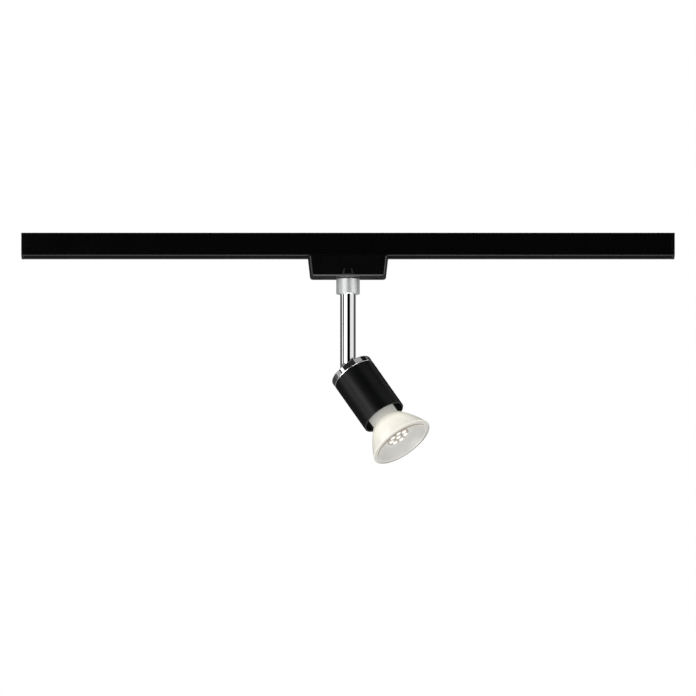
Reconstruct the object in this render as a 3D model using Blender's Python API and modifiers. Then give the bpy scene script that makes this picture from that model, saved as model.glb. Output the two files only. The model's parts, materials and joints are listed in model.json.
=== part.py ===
"""Track spotlight: a ceiling rail, a plug-in adapter, a panning stem and a tilting head with a reflector lamp.

Metres, +Z up. The origin is the centre of the rail's ceiling face and +X runs along the rail. The head is
modelled about its tilt pivot with the lamp pointing down -Z, and its empty turns it to the photographed aim.
"""

import math

import bmesh
import bpy
from mathutils import Matrix

# General
CLEARANCE = 0.0003
ROUND_SIDES = 36
SMALL_SIDES = 20
ARC_STEPS = 8
SHARP_ANGLE = math.radians(35)
WELD = 1e-6
CUT_MARGIN = 0.001

# Rail
RAIL_LENGTH = 0.500
RAIL_WIDTH = 0.034
RAIL_HEIGHT = 0.0175
RAIL_WALL = 0.0015
RAIL_WEB = 0.0016
SLOT_WIDTH = 0.017
RAIL_HOLE_DIAMETER = 0.0045
RAIL_HOLE_SPACING = 0.340
END_PLATE = 0.002
END_PLUG_DEPTH = 0.005
LINER_SETBACK = 0.0005
LINER_WALL = 0.0022
GROOVE_HEIGHT = 0.006
CONDUCTOR_THICKNESS = 0.0008

# Adapter
ADAPTER_LENGTH = 0.0614
ADAPTER_DEPTH = 0.036
ADAPTER_HEIGHT = 0.0157
ADAPTER_DRAFT = math.radians(6.3)
ADAPTER_CORNER = 0.0025
ADAPTER_FILLET = 0.0018
FILLET_SEGMENTS = 3
FAIRING_HEIGHT = 0.0046
FAIRING_FOOT_HALF = 0.0047
FAIRING_FOOT_RISE = 0.0015
FAIRING_TOP_HALF = 0.0030
FAIRING_TOP_RISE = 0.0010
FAIRING_ROOT = 0.0006
HOUSING_WALL = 0.0018
HOUSING_FLOOR = 0.0022
CARRIER_PLATE = 0.0025
TONGUE_PLAY = 0.0015
EARTH_SPRING_HEIGHT = 0.0029
LEAF_THICKNESS = 0.0004
LEAF_WIDTH = 0.004
LEAF_FOOT = 0.005
LEAF_NOSE = 0.001
EARTH_SPRING_SHARE = 0.625
CARRIER_SCREW_DIAMETER = 0.0024
CARRIER_SCREW_LENGTH = 0.007
CARRIER_BOSS_X = 0.0125
CARRIER_BOSS_INSET = 0.0048
CARRIER_BOSS_DIAMETER = 0.005
TERMINAL_WIDTH = 0.007
TERMINAL_LENGTH = 0.014
TERMINAL_HEIGHT = 0.0065
TERMINAL_SHIFT = 0.002
WIRE_DIAMETER = 0.0016
WIRE_SPACING = 0.005

# Locks
LOCK_INSET = 0.0087
LOCK_HEAD_DIAMETER = 0.008
LOCK_FLANGE_DIAMETER = 0.010
LOCK_FLANGE_THICKNESS = 0.0012
LOCK_SHAFT_DIAMETER = 0.005
LOCK_STUB_DIAMETER = 0.0036
LOCK_SLOT_WIDTH = 0.0012
LOCK_SLOT_DEPTH = 0.0012
LOCK_RECESS = 0.0002
WING_LENGTH = 0.025
WING_WIDTH = 0.006
WING_THICKNESS = 0.003
WING_HEADROOM = 0.0007

# Swivel
NECK_THREAD_DIAMETER = 0.0098
NECK_RISE = 0.0035
NUT_WIDTH = 0.014
NUT_THICKNESS = 0.003
COLLAR_LENGTH = 0.012
COLLAR_WALL = 0.0015
COLLAR_LIP = 0.0025
COLLAR_CHAMFER = 0.0008
WASHER_THICKNESS = 0.001
FLANGE_STEP = 0.0012
FLANGE_THICKNESS = 0.0024
CABLE_DIAMETER = 0.0048
CABLE_PLAY = 0.0004

# Stem and tilt joint
STEM_DROP = 0.0551
TUBE_DIAMETER = 0.012
TUBE_WALL = 0.0012
LUG_THICKNESS = 0.004
LUG_PLAY = 0.0004
SLOT_HEADROOM = 0.0009
TILT_PIN_DIAMETER = 0.003
PAN = math.radians(-31.2)
TILT = math.radians(38.4)

# Head
HEAD_DIAMETER = 0.0346
CAP_BAND = 0.005
CAP_PLATE = 0.002
CAP_BEVEL = 0.0006
CAP_RIM_RISE = 0.0018
CAP_RIM_WALL = 0.0016
SPIGOT_LENGTH = 0.005
SPIGOT_WALL = 0.0012
SLEEVE_LENGTH = 0.0422
SLEEVE_WALL = 0.0012
HOLDER_STANDOFF = 0.0057
HOLDER_PLATE = 0.0012
HEAD_SCREW_DIAMETER = 0.0026
HEAD_SCREW_HEAD_DIAMETER = 0.0048
HEAD_SCREW_HEAD_HEIGHT = 0.0014
HEAD_BOSS_DIAMETER = 0.0056
HEAD_BOSS_INSET = 0.0004
HEAD_ROW_PLAY = 0.0006
GROMMET_DIAMETER = 0.0056
GROMMET_FLANGE_DIAMETER = 0.0066
GROMMET_FLANGE = 0.0008
HEAD_CABLE_DIAMETER = 0.0034
HEAD_CABLE_TAIL = 0.0006

# Lampholder
HOLDER_DIAMETER = 0.024
HOLDER_LENGTH = 0.015
HOLDER_LIP = 0.002
WELL_DEPTH = 0.0088
HOLDER_SCREW_SPACING = 0.0172
HOLDER_SCREW_SINK = 0.003
HOLDER_LEAF_LENGTH = 0.004
HOLDER_LEAF_WIDTH = 0.003

# Lamp
LAMP_DIAMETER = 0.0506
LAMP_LENGTH = 0.0467
LAMP_NECK_DIAMETER = 0.0222
LAMP_WALL = 0.0013
LAMP_FLOOR = 0.0018
LAMP_FLARE = 0.0232
LAMP_FLARE_BOW = 0.394
FLARE_STEPS = 6
LAMP_SPIGOT = 0.003
RIM_WIDTH = 0.0030
RIM_EDGE = 0.0008
RIM_LIP = 0.0015
DISH_RISE = 0.0007
DISH_THICKNESS = 0.0008
DISH_DEPTH = 0.0063
LENS_PLATE_DIAMETER = 0.0192
LENS_PLATE_THICKNESS = 0.0012
LENS_DIAMETER = 0.0040
LENS_RING_RADIUS = 0.0064
LENS_COUNT = 7
LENS_SIDES = 12
LED_BOARD_THICKNESS = 0.0012
HEAT_SINK_DIAMETER = 0.0156
HEAT_SINK_FLANGE = 0.0012
PIN_SPACING = 0.010
PIN_NECK_DIAMETER = 0.0036
PIN_HEAD_DIAMETER = 0.005
PIN_LENGTH = 0.0068
PIN_HEAD_LENGTH = 0.0042
PIN_TAIL = 0.0011
LAMP_TWIST = math.radians(45)
DRIVER_WIDTH = 0.015
DRIVER_LENGTH = 0.015
DRIVER_THICKNESS = 0.0012

# Heights in the rail and adapter
CHANNEL_HALF = RAIL_WIDTH / 2 - RAIL_WALL
WEB_UNDER = -RAIL_WEB
LIP_TOP = -RAIL_HEIGHT + RAIL_WALL
PROFILE_HALF = RAIL_LENGTH / 2 - END_PLATE - CLEARANCE
LINER_HALF = PROFILE_HALF - END_PLUG_DEPTH - CLEARANCE
LINER_OUTER = CHANNEL_HALF - CLEARANCE
LINER_INNER = SLOT_WIDTH / 2 + LINER_SETBACK
LINER_TOP = WEB_UNDER - CLEARANCE
WING_UNDER = LIP_TOP + CLEARANCE
WING_TOP = WING_UNDER + WING_THICKNESS
LINER_BOTTOM = WING_TOP + WING_HEADROOM
GROOVE_MIDDLE = (LINER_TOP + LINER_BOTTOM) / 2
GROOVE_FLOOR = LINER_OUTER - LINER_WALL
CONDUCTOR_OUTER = GROOVE_FLOOR - CLEARANCE
CONDUCTOR_INNER = CONDUCTOR_OUTER - CONDUCTOR_THICKNESS
ADAPTER_TOP = -RAIL_HEIGHT - CLEARANCE
ADAPTER_BOTTOM = ADAPTER_TOP - ADAPTER_HEIGHT
FLOOR_TOP = ADAPTER_BOTTOM + HOUSING_FLOOR
PLATE_TOP = ADAPTER_TOP - CLEARANCE
PLATE_UNDER = PLATE_TOP - CARRIER_PLATE
TONGUE_TOP = WEB_UNDER - EARTH_SPRING_HEIGHT
LOCK_OFFSET = ADAPTER_LENGTH / 2 - LOCK_INSET
TONGUE_HALF_LENGTH = LOCK_OFFSET - WING_LENGTH / 2 - TONGUE_PLAY
TONGUE_HALF_WIDTH = SLOT_WIDTH / 2 - TONGUE_PLAY
CARRIER_SEAT = PLATE_TOP - CARRIER_PLATE / 2
NUT_CORNER = NUT_WIDTH / math.sqrt(3)
TERMINAL_X = (NUT_CORNER + LOCK_OFFSET - LOCK_FLANGE_DIAMETER / 2) / 2

# Heights in the swivel and stem
COLLAR_TOP = ADAPTER_BOTTOM - CLEARANCE
COLLAR_BOTTOM = COLLAR_TOP - COLLAR_LENGTH
COLLAR_SHOULDER = COLLAR_BOTTOM + COLLAR_LIP
TUBE_RADIUS = TUBE_DIAMETER / 2
BORE_RADIUS = TUBE_RADIUS - TUBE_WALL
FLANGE_RADIUS = TUBE_RADIUS + FLANGE_STEP
COLLAR_BORE_RADIUS = FLANGE_RADIUS + CLEARANCE
COLLAR_RADIUS = COLLAR_BORE_RADIUS + COLLAR_WALL
CABLE_BORE_RADIUS = CABLE_DIAMETER / 2 + CABLE_PLAY
FLANGE_UNDER = COLLAR_SHOULDER + CLEARANCE
FLANGE_TOP = FLANGE_UNDER + FLANGE_THICKNESS
WASHER_UNDER = FLANGE_TOP + CLEARANCE
WASHER_TOP = WASHER_UNDER + WASHER_THICKNESS
NECK_BOTTOM = WASHER_TOP + CLEARANCE
NUT_UNDER = FLOOR_TOP + CLEARANCE
NECK_TOP = NUT_UNDER + NUT_THICKNESS + NECK_RISE
PIVOT_Z = COLLAR_BOTTOM - STEM_DROP
LUG_RADIUS = BORE_RADIUS - LUG_PLAY
SLOT_TOP = PIVOT_Z + LUG_RADIUS + SLOT_HEADROOM
CABLE_END = SLOT_TOP + CLEARANCE

# Stations along the head, counted down from the tilt pivot
CAP_BACK = -TUBE_RADIUS - CLEARANCE
CAP_INSIDE = CAP_BACK - CAP_PLATE
CAP_EDGE = CAP_BACK + CAP_RIM_RISE
CAP_FRONT = CAP_EDGE - CAP_BAND
HEAD_RADIUS = HEAD_DIAMETER / 2
SLEEVE_BORE_RADIUS = HEAD_RADIUS - SLEEVE_WALL
SPIGOT_RADIUS = SLEEVE_BORE_RADIUS - CLEARANCE
SPIGOT_BORE_RADIUS = SPIGOT_RADIUS - SPIGOT_WALL
SLEEVE_BACK = CAP_FRONT - CLEARANCE
SLEEVE_FRONT = SLEEVE_BACK - SLEEVE_LENGTH
HEAD_ROW_OFFSET = TUBE_RADIUS + HEAD_SCREW_HEAD_DIAMETER / 2 + HEAD_ROW_PLAY
BOSS_FRONT = CAP_INSIDE - HOLDER_STANDOFF
PLATE_BACK = BOSS_FRONT - CLEARANCE
PLATE_FRONT = PLATE_BACK - HOLDER_PLATE
HOLDER_BACK = PLATE_FRONT - CLEARANCE
HOLDER_FACE = HOLDER_BACK - HOLDER_LENGTH
HOLDER_SCREW_SEAT = HOLDER_FACE + HOLDER_SCREW_SINK
WELL_FLOOR = HOLDER_FACE + WELL_DEPTH
LAMP_BACK = HOLDER_FACE - CLEARANCE
LAMP_RIM = LAMP_BACK - LAMP_LENGTH
LAMP_RADIUS = LAMP_DIAMETER / 2
NECK_RADIUS = LAMP_NECK_DIAMETER / 2
NECK_BORE_RADIUS = NECK_RADIUS - LAMP_WALL
FLARE_BACK = LAMP_RIM + LAMP_FLARE
RIM_BORE_RADIUS = LAMP_RADIUS - RIM_WIDTH
DISH_FRONT = LAMP_RIM - DISH_RISE
DISH_CENTRE = DISH_FRONT + DISH_DEPTH
LENS_PLATE_RADIUS = LENS_PLATE_DIAMETER / 2
LENS_PLATE_FRONT = DISH_CENTRE + CLEARANCE
LENS_PLATE_BACK = LENS_PLATE_FRONT + LENS_PLATE_THICKNESS
BOARD_FRONT = LENS_PLATE_BACK + CLEARANCE
BOARD_BACK = BOARD_FRONT + LED_BOARD_THICKNESS
SINK_FRONT = BOARD_BACK + CLEARANCE
PIN_TIP = LAMP_BACK + PIN_LENGTH
PIN_SHOULDER = PIN_TIP - PIN_HEAD_LENGTH
PIN_END = LAMP_BACK - LAMP_FLOOR - PIN_TAIL

# How an outline drawn in XY is stood up: along the rail, or across the tilt axis
ALONG_RAIL = Matrix(((0, 0, 1, 0), (1, 0, 0, 0), (0, 1, 0, 0), (0, 0, 0, 1)))
ACROSS_TILT = Matrix.Rotation(math.pi / 2, 4, "X")
FLAT = Matrix.Identity(4)


def clear_scene():
    for obj in list(bpy.data.objects):
        bpy.data.objects.remove(obj)


def new_collection(name, hidden):
    collection = bpy.data.collections.new(name)
    bpy.context.scene.collection.children.link(collection)
    collection.hide_render = hidden
    return collection


def finish(name, colour, roughness, metallic):
    """A plain Principled material."""
    material = bpy.data.materials.new(name)
    material.use_nodes = True
    shader = material.node_tree.nodes["Principled BSDF"]
    shader.inputs["Base Color"].default_value = (*colour, 1.0)
    shader.inputs["Roughness"].default_value = roughness
    shader.inputs["Metallic"].default_value = metallic
    return material


clear_scene()
PARTS = new_collection("track_spotlight", hidden=False)
CUTTERS = new_collection("cutters", hidden=True)

RAIL_BLACK = finish("rail_black", (0.012, 0.012, 0.013), 0.45, 0.0)
ADAPTER_BLACK = finish("adapter_black", (0.014, 0.014, 0.015), 0.40, 0.0)
SLEEVE_BLACK = finish("sleeve_black", (0.012, 0.012, 0.013), 0.38, 0.0)
CHROME = finish("chrome", (0.85, 0.86, 0.87), 0.06, 1.0)
SATIN_NICKEL = finish("satin_nickel", (0.62, 0.62, 0.61), 0.32, 1.0)
ZINC_STEEL = finish("zinc_steel", (0.60, 0.60, 0.60), 0.35, 1.0)
COPPER = finish("copper", (0.72, 0.36, 0.20), 0.30, 1.0)
BRONZE = finish("spring_bronze", (0.66, 0.48, 0.22), 0.30, 1.0)
BRASS = finish("brass", (0.72, 0.55, 0.24), 0.25, 1.0)
ALUMINIUM = finish("bare_aluminium", (0.70, 0.70, 0.71), 0.40, 1.0)
LINER_GREY = finish("liner_grey", (0.10, 0.10, 0.11), 0.55, 0.0)
NYLON_WHITE = finish("nylon_white", (0.75, 0.74, 0.70), 0.50, 0.0)
CERAMIC = finish("ceramic", (0.80, 0.78, 0.73), 0.45, 0.0)
LAMP_WHITE = finish("lamp_white", (0.82, 0.82, 0.79), 0.45, 0.0)
DISH_GREY = finish("dish_grey", (0.62, 0.61, 0.59), 0.35, 0.0)
LENS_CLEAR = finish("lens_clear", (0.95, 0.94, 0.90), 0.10, 0.0)
BOARD_GREEN = finish("board_green", (0.03, 0.16, 0.07), 0.50, 0.0)
CABLE_BLACK = finish("cable_black", (0.02, 0.02, 0.02), 0.55, 0.0)
WIRE_BROWN = finish("wire_brown", (0.16, 0.06, 0.03), 0.50, 0.0)
WIRE_BLUE = finish("wire_blue", (0.03, 0.10, 0.40), 0.50, 0.0)


def axis_frame(name, parent=None, location=(0, 0, 0), rotation=(0, 0, 0)):
    """An empty on a joint's axis, which carries the pieces of one moving body."""
    frame = bpy.data.objects.new(name, None)
    frame.empty_display_size = TUBE_DIAMETER
    frame.parent = parent
    frame.location = location
    frame.rotation_euler = rotation
    PARTS.objects.link(frame)
    return frame


def add_object(name, data, material, frame):
    """A piece with its material, or a hidden cutter where there is no material."""
    obj = bpy.data.objects.new(name, data)
    obj.parent = frame
    if material is None:
        obj.hide_render = True
        obj.display_type = "WIRE"
        CUTTERS.objects.link(obj)
    else:
        data.materials.append(material)
        PARTS.objects.link(obj)
    return obj


def mesh_object(name, shape, material, frame):
    mesh = bpy.data.meshes.new(name)
    shape.to_mesh(mesh)
    shape.free()
    return add_object(name, mesh, material, frame)


def box(name, low, high, material, frame):
    """A box between two corners."""
    shape = bmesh.new()
    bmesh.ops.create_cube(shape, size=1.0)
    for vert in shape.verts:
        vert.co = [high[i] if vert.co[i] > 0 else low[i] for i in range(3)]
    return mesh_object(name, shape, material, frame)


def cylinder(name, radius, low, high, material, frame, at=(0, 0), sides=SMALL_SIDES):
    """An upright cylinder between two heights."""
    shape = bmesh.new()
    bmesh.ops.create_cone(
        shape, cap_ends=True, segments=sides, radius1=radius, radius2=radius, depth=high - low
    )
    obj = mesh_object(name, shape, material, frame)
    obj.location = (*at, (low + high) / 2)
    return obj


def turned(name, outline, material, frame, at=(0, 0), sides=ROUND_SIDES):
    """A turned piece. The outline's (radius, height) points run down its outer side and back up its bore."""
    count = len(outline)
    solid_core = outline[0][0] == 0
    edges = [(i, i + 1) for i in range(count - 1)]
    if not solid_core:
        edges.append((count - 1, 0))
    mesh = bpy.data.meshes.new(name)
    mesh.from_pydata([(radius, 0, height) for radius, height in outline], edges, [])
    obj = add_object(name, mesh, material, frame)
    obj.location = (*at, 0)
    screw = obj.modifiers.new("turn", "SCREW")
    screw.steps = sides
    screw.render_steps = sides
    screw.use_merge_vertices = True
    screw.merge_threshold = WELD
    return obj


def meshed(curve_object):
    """The curve object's solid as a welded mesh. The curve object is removed."""
    bpy.context.scene.collection.objects.link(curve_object)
    graph = bpy.context.evaluated_depsgraph_get()
    mesh = bpy.data.meshes.new_from_object(curve_object.evaluated_get(graph))
    bpy.data.objects.remove(curve_object)
    shape = bmesh.new()
    shape.from_mesh(mesh)
    bmesh.ops.remove_doubles(shape, verts=shape.verts, dist=WELD)
    bmesh.ops.recalc_face_normals(shape, faces=shape.faces)
    shape.to_mesh(mesh)
    shape.free()
    return mesh


def prism(name, outline, low, high, material, frame, stand=FLAT):
    """A flat outline given thickness from low to high along its normal."""
    curve = bpy.data.curves.new(name, "CURVE")
    curve.dimensions = "2D"
    curve.fill_mode = "BOTH"
    curve.extrude = (high - low) / 2
    spline = curve.splines.new("POLY")
    spline.points.add(len(outline) - 1)
    for point, (x, y) in zip(spline.points, outline):
        point.co = (x, y, 0, 1)
    spline.use_cyclic_u = True
    mesh = meshed(bpy.data.objects.new(name, curve))
    mesh.transform(stand @ Matrix.Translation((0, 0, (low + high) / 2)))
    mesh.name = name
    return add_object(name, mesh, material, frame)


def strip(name, path, width, material, frame, stand=FLAT):
    """A bent leaf: a path in XY drawn out to its width along Z, then given its thickness."""
    shape = bmesh.new()
    verts = [shape.verts.new((x, y, -width / 2)) for x, y in path]
    edges = [shape.edges.new(pair) for pair in zip(verts, verts[1:])]
    drawn = bmesh.ops.extrude_edge_only(shape, edges=edges)["geom"]
    moved = [item for item in drawn if isinstance(item, bmesh.types.BMVert)]
    bmesh.ops.translate(shape, verts=moved, vec=(0, 0, width))
    shape.transform(stand)
    obj = mesh_object(name, shape, material, frame)
    solidify = obj.modifiers.new("thickness", "SOLIDIFY")
    solidify.thickness = LEAF_THICKNESS
    solidify.offset = 0.0
    solidify.use_even_offset = True
    return obj


def wire(name, route, diameter, material, frame):
    """A round wire along a smooth route."""
    curve = bpy.data.curves.new(name, "CURVE")
    curve.dimensions = "3D"
    curve.bevel_depth = diameter / 2
    curve.bevel_resolution = 2
    curve.use_fill_caps = True
    curve.resolution_u = 4
    spline = curve.splines.new("NURBS")
    spline.points.add(len(route) - 1)
    for point, place in zip(spline.points, route):
        point.co = (*place, 1)
    spline.order_u = min(4, len(route))
    spline.use_endpoint_u = True
    return add_object(name, curve, material, frame)


def boolean(obj, other, operation):
    modifier = obj.modifiers.new(f"{operation.lower()}_{other.name}", "BOOLEAN")
    modifier.operation = operation
    modifier.object = other
    modifier.solver = "EXACT"


def cut(obj, *cutters):
    for cutter in cutters:
        boolean(obj, cutter, "DIFFERENCE")


def join(obj, *others):
    for other in others:
        boolean(obj, other, "UNION")


def arc(centre, radius, start, end):
    """Points along a circle from one angle to another."""
    angles = [start + (end - start) * i / ARC_STEPS for i in range(ARC_STEPS + 1)]
    return [(centre[0] + radius * math.cos(a), centre[1] + radius * math.sin(a)) for a in angles]


def stadium(half_length, radius):
    """A bar outline with round ends, along X."""
    reach = half_length - radius
    right = arc((reach, 0), radius, -math.pi / 2, math.pi / 2)
    left = arc((-reach, 0), radius, math.pi / 2, 3 * math.pi / 2)
    return right + left


def curved_slot(radius, width, start, end):
    """A slot outline with round ends that follows a circle about the origin."""
    half = width / 2
    first = (radius * math.cos(start), radius * math.sin(start))
    last = (radius * math.cos(end), radius * math.sin(end))
    outer = arc((0, 0), radius + half, start, end)
    far_end = arc(last, half, end, end + math.pi)
    inner = arc((0, 0), radius - half, end, start)
    near_end = arc(first, half, start + math.pi, start + 2 * math.pi)
    return outer + far_end[1:-1] + inner + near_end[1:-1]


def make_rail(frame):
    """The channel, its liners and conductors, and the two end caps."""
    slot = SLOT_WIDTH / 2
    side = [
        (RAIL_WIDTH / 2, 0),
        (RAIL_WIDTH / 2, -RAIL_HEIGHT),
        (slot, -RAIL_HEIGHT),
        (slot, LIP_TOP),
        (CHANNEL_HALF, LIP_TOP),
        (CHANNEL_HALF, WEB_UNDER),
    ]
    section = side + [(-y, z) for y, z in reversed(side)]
    rail = prism("rail_profile", section, -PROFILE_HALF, PROFILE_HALF, RAIL_BLACK, frame, ALONG_RAIL)
    for label, sign in (("left", -1), ("right", 1)):
        hole = cylinder(
            f"rail_hole_{label}",
            RAIL_HOLE_DIAMETER / 2,
            WEB_UNDER - CUT_MARGIN,
            CUT_MARGIN,
            None,
            frame,
            at=(sign * RAIL_HOLE_SPACING / 2, 0),
        )
        cut(rail, hole)
        make_end_cap(label, sign, frame)
    make_liner("front", "live", -1, frame)
    make_liner("back", "neutral", 1, frame)


def make_end_cap(label, sign, frame):
    """An end plate with a plug that fills the channel above the lips."""
    half = RAIL_WIDTH / 2
    outside = RAIL_LENGTH / 2
    inside = outside - END_PLATE
    plug_end = PROFILE_HALF - END_PLUG_DEPTH
    plate_x = sorted((sign * inside, sign * outside))
    plug_x = sorted((sign * plug_end, sign * (inside + END_PLATE / 2)))
    cap = box(
        f"end_cap_{label}",
        (plate_x[0], -half, -RAIL_HEIGHT),
        (plate_x[1], half, 0),
        RAIL_BLACK,
        frame,
    )
    plug = box(
        f"end_plug_{label}",
        (plug_x[0], -LINER_OUTER, LIP_TOP + CLEARANCE),
        (plug_x[1], LINER_OUTER, LINER_TOP),
        None,
        frame,
    )
    join(cap, plug)


def make_liner(place, pole, sign, frame):
    """A grooved insulating liner and the conductor that lies in its groove."""
    low = GROOVE_MIDDLE - GROOVE_HEIGHT / 2
    high = GROOVE_MIDDLE + GROOVE_HEIGHT / 2
    liner = [
        (LINER_OUTER, LINER_TOP),
        (LINER_OUTER, LINER_BOTTOM),
        (LINER_INNER, LINER_BOTTOM),
        (LINER_INNER, low),
        (GROOVE_FLOOR, low),
        (GROOVE_FLOOR, high),
        (LINER_INNER, high),
        (LINER_INNER, LINER_TOP),
    ]
    section = [(sign * y, z) for y, z in liner]
    prism(f"insulator_{place}", section, -LINER_HALF, LINER_HALF, LINER_GREY, frame, ALONG_RAIL)
    faces = sorted((sign * CONDUCTOR_INNER, sign * CONDUCTOR_OUTER))
    box(
        f"conductor_{pole}",
        (-LINER_HALF, faces[0], low + CLEARANCE),
        (LINER_HALF, faces[1], high - CLEARANCE),
        COPPER,
        frame,
    )


def adapter_half(height, inset=0.0):
    """Half the adapter's length and depth at a height, less an inset."""
    draft = (ADAPTER_TOP - height) * math.tan(ADAPTER_DRAFT)
    return ADAPTER_LENGTH / 2 - draft - inset, ADAPTER_DEPTH / 2 - draft - inset


def round_over(shape, edges, radius):
    bmesh.ops.bevel(
        shape,
        geom=edges,
        offset=radius,
        segments=FILLET_SEGMENTS,
        affect="EDGES",
        profile=0.5,
    )


def tapered_block(name, low, high, inset, rounded, material, frame):
    """A block with the adapter's draft, its upright and lower edges rounded where asked."""
    shape = bmesh.new()
    bmesh.ops.create_cube(shape, size=1.0)
    for vert in shape.verts:
        height = high if vert.co.z > 0 else low
        length, depth = adapter_half(height, inset)
        vert.co = (math.copysign(length, vert.co.x), math.copysign(depth, vert.co.y), height)
    if rounded:
        upright = [edge for edge in shape.edges if abs(edge.verts[0].co.z - edge.verts[1].co.z) > WELD]
        round_over(shape, upright, ADAPTER_CORNER)
        lower = [edge for edge in shape.edges if max(vert.co.z for vert in edge.verts) < low + WELD]
        round_over(shape, lower, ADAPTER_FILLET)
    return mesh_object(name, shape, material, frame)


def make_fairing(label, sign, frame):
    """A rib that tapers up the housing's face over the swivel."""
    foot = ADAPTER_BOTTOM + ADAPTER_FILLET
    shape = bmesh.new()
    bmesh.ops.create_cube(shape, size=1.0)
    for vert in shape.verts:
        height, half, rise = foot, FAIRING_FOOT_HALF, FAIRING_FOOT_RISE
        if vert.co.z > 0:
            height, half, rise = foot + FAIRING_HEIGHT, FAIRING_TOP_HALF, FAIRING_TOP_RISE
        out = rise if sign * vert.co.y > 0 else -FAIRING_ROOT
        depth = adapter_half(height)[1] + out
        vert.co = (math.copysign(half - out, vert.co.x), sign * depth, height)
    return mesh_object(f"fairing_{label}", shape, None, frame)


def make_adapter(frame):
    """The housing, the carrier with its contacts and screws, and the wiring."""
    housing = tapered_block(
        "adapter_housing", ADAPTER_BOTTOM, ADAPTER_TOP, 0.0, True, ADAPTER_BLACK, frame
    )
    join(housing, make_fairing("front", -1, frame), make_fairing("back", 1, frame))
    cavity = tapered_block(
        "adapter_cavity", FLOOR_TOP, ADAPTER_TOP + CUT_MARGIN, HOUSING_WALL, False, None, frame
    )
    cut(housing, cavity)
    neck_hole = cylinder(
        "neck_hole",
        NECK_THREAD_DIAMETER / 2 + CLEARANCE,
        ADAPTER_BOTTOM - CUT_MARGIN,
        FLOOR_TOP + CUT_MARGIN,
        None,
        frame,
        sides=ROUND_SIDES,
    )
    cut(housing, neck_hole)
    carrier = make_carrier(frame)
    for label, sign in (("left", -1), ("right", 1)):
        place = (sign * LOCK_OFFSET, 0)
        head_hole = cylinder(
            f"lock_head_hole_{label}",
            LOCK_HEAD_DIAMETER / 2 + CLEARANCE,
            ADAPTER_BOTTOM - CUT_MARGIN,
            FLOOR_TOP + CUT_MARGIN,
            None,
            frame,
            at=place,
        )
        shaft_hole = cylinder(
            f"lock_shaft_hole_{label}",
            LOCK_SHAFT_DIAMETER / 2 + CLEARANCE,
            PLATE_UNDER - CUT_MARGIN,
            PLATE_TOP + CUT_MARGIN,
            None,
            frame,
            at=place,
        )
        cut(housing, head_hole)
        cut(carrier, shaft_hole)
    for label, sign in (("front", -1), ("back", 1)):
        make_carrier_screw(label, sign, housing, carrier, frame)
    make_contacts(frame)
    make_wiring(frame)


def make_carrier(frame):
    """The closing plate with the tongue that enters the rail's slot."""
    length, depth = adapter_half(PLATE_UNDER, HOUSING_WALL + CLEARANCE)
    carrier = box(
        "contact_carrier",
        (-length, -depth, PLATE_UNDER),
        (length, depth, PLATE_TOP),
        NYLON_WHITE,
        frame,
    )
    tongue = box(
        "carrier_tongue",
        (-TONGUE_HALF_LENGTH, -TONGUE_HALF_WIDTH, CARRIER_SEAT),
        (TONGUE_HALF_LENGTH, TONGUE_HALF_WIDTH, TONGUE_TOP),
        None,
        frame,
    )
    join(carrier, tongue)
    return carrier


def make_carrier_screw(label, sign, housing, carrier, frame):
    """A screw through the carrier into a boss that stands on the housing's floor."""
    radius = CARRIER_SCREW_DIAMETER / 2
    head = 2 * radius
    _, depth = adapter_half(FLOOR_TOP)
    place = (-sign * CARRIER_BOSS_X, sign * (depth - CARRIER_BOSS_INSET))
    boss_top = PLATE_UNDER - CLEARANCE
    tip = CARRIER_SEAT - CARRIER_SCREW_LENGTH
    boss = cylinder(
        f"carrier_boss_{label}",
        CARRIER_BOSS_DIAMETER / 2,
        ADAPTER_BOTTOM + HOUSING_FLOOR / 2,
        boss_top,
        None,
        frame,
        at=place,
    )
    thread = cylinder(
        f"carrier_thread_{label}",
        radius + CLEARANCE,
        tip - CLEARANCE,
        PLATE_TOP + CUT_MARGIN,
        None,
        frame,
        at=place,
    )
    sink = cylinder(
        f"carrier_sink_{label}",
        head + CLEARANCE,
        CARRIER_SEAT,
        PLATE_TOP + CUT_MARGIN,
        None,
        frame,
        at=place,
    )
    join(housing, boss)
    cut(housing, thread)
    cut(carrier, thread, sink)
    seat = CARRIER_SEAT + CLEARANCE
    outline = [(0, PLATE_TOP), (head, PLATE_TOP), (head, seat), (radius, seat), (radius, tip), (0, tip)]
    turned(f"carrier_screw_{label}", outline, ZINC_STEEL, frame, at=place, sides=SMALL_SIDES)


def make_contacts(frame):
    """A leaf on each side of the tongue that reaches into the groove, and the earth leaf on its top."""
    half_leaf = LEAF_THICKNESS / 2
    root = TONGUE_HALF_WIDTH + CLEARANCE + half_leaf
    touch = CONDUCTOR_INNER - CLEARANCE - half_leaf
    knee = GROOVE_HEIGHT / 4
    for pole, sign in (("live", -1), ("neutral", 1)):
        path = [
            (root, GROOVE_MIDDLE - knee - LEAF_FOOT),
            (root, GROOVE_MIDDLE - knee),
            (touch, GROOVE_MIDDLE - LEAF_NOSE / 2),
            (touch, GROOVE_MIDDLE + LEAF_NOSE / 2),
            (root, GROOVE_MIDDLE + knee),
        ]
        path = [(sign * y, z) for y, z in path]
        strip(f"contact_{pole}", path, LEAF_WIDTH, BRONZE, frame, ALONG_RAIL)
    reach = TONGUE_HALF_LENGTH * EARTH_SPRING_SHARE
    foot = TONGUE_TOP + CLEARANCE + half_leaf
    crown = WEB_UNDER - CLEARANCE - half_leaf
    arch = [
        (-reach, foot),
        (-LEAF_NOSE, crown),
        (LEAF_NOSE, crown),
        (reach, foot),
    ]
    strip("contact_earth", arch, LEAF_WIDTH, BRONZE, frame, ACROSS_TILT)


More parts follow.
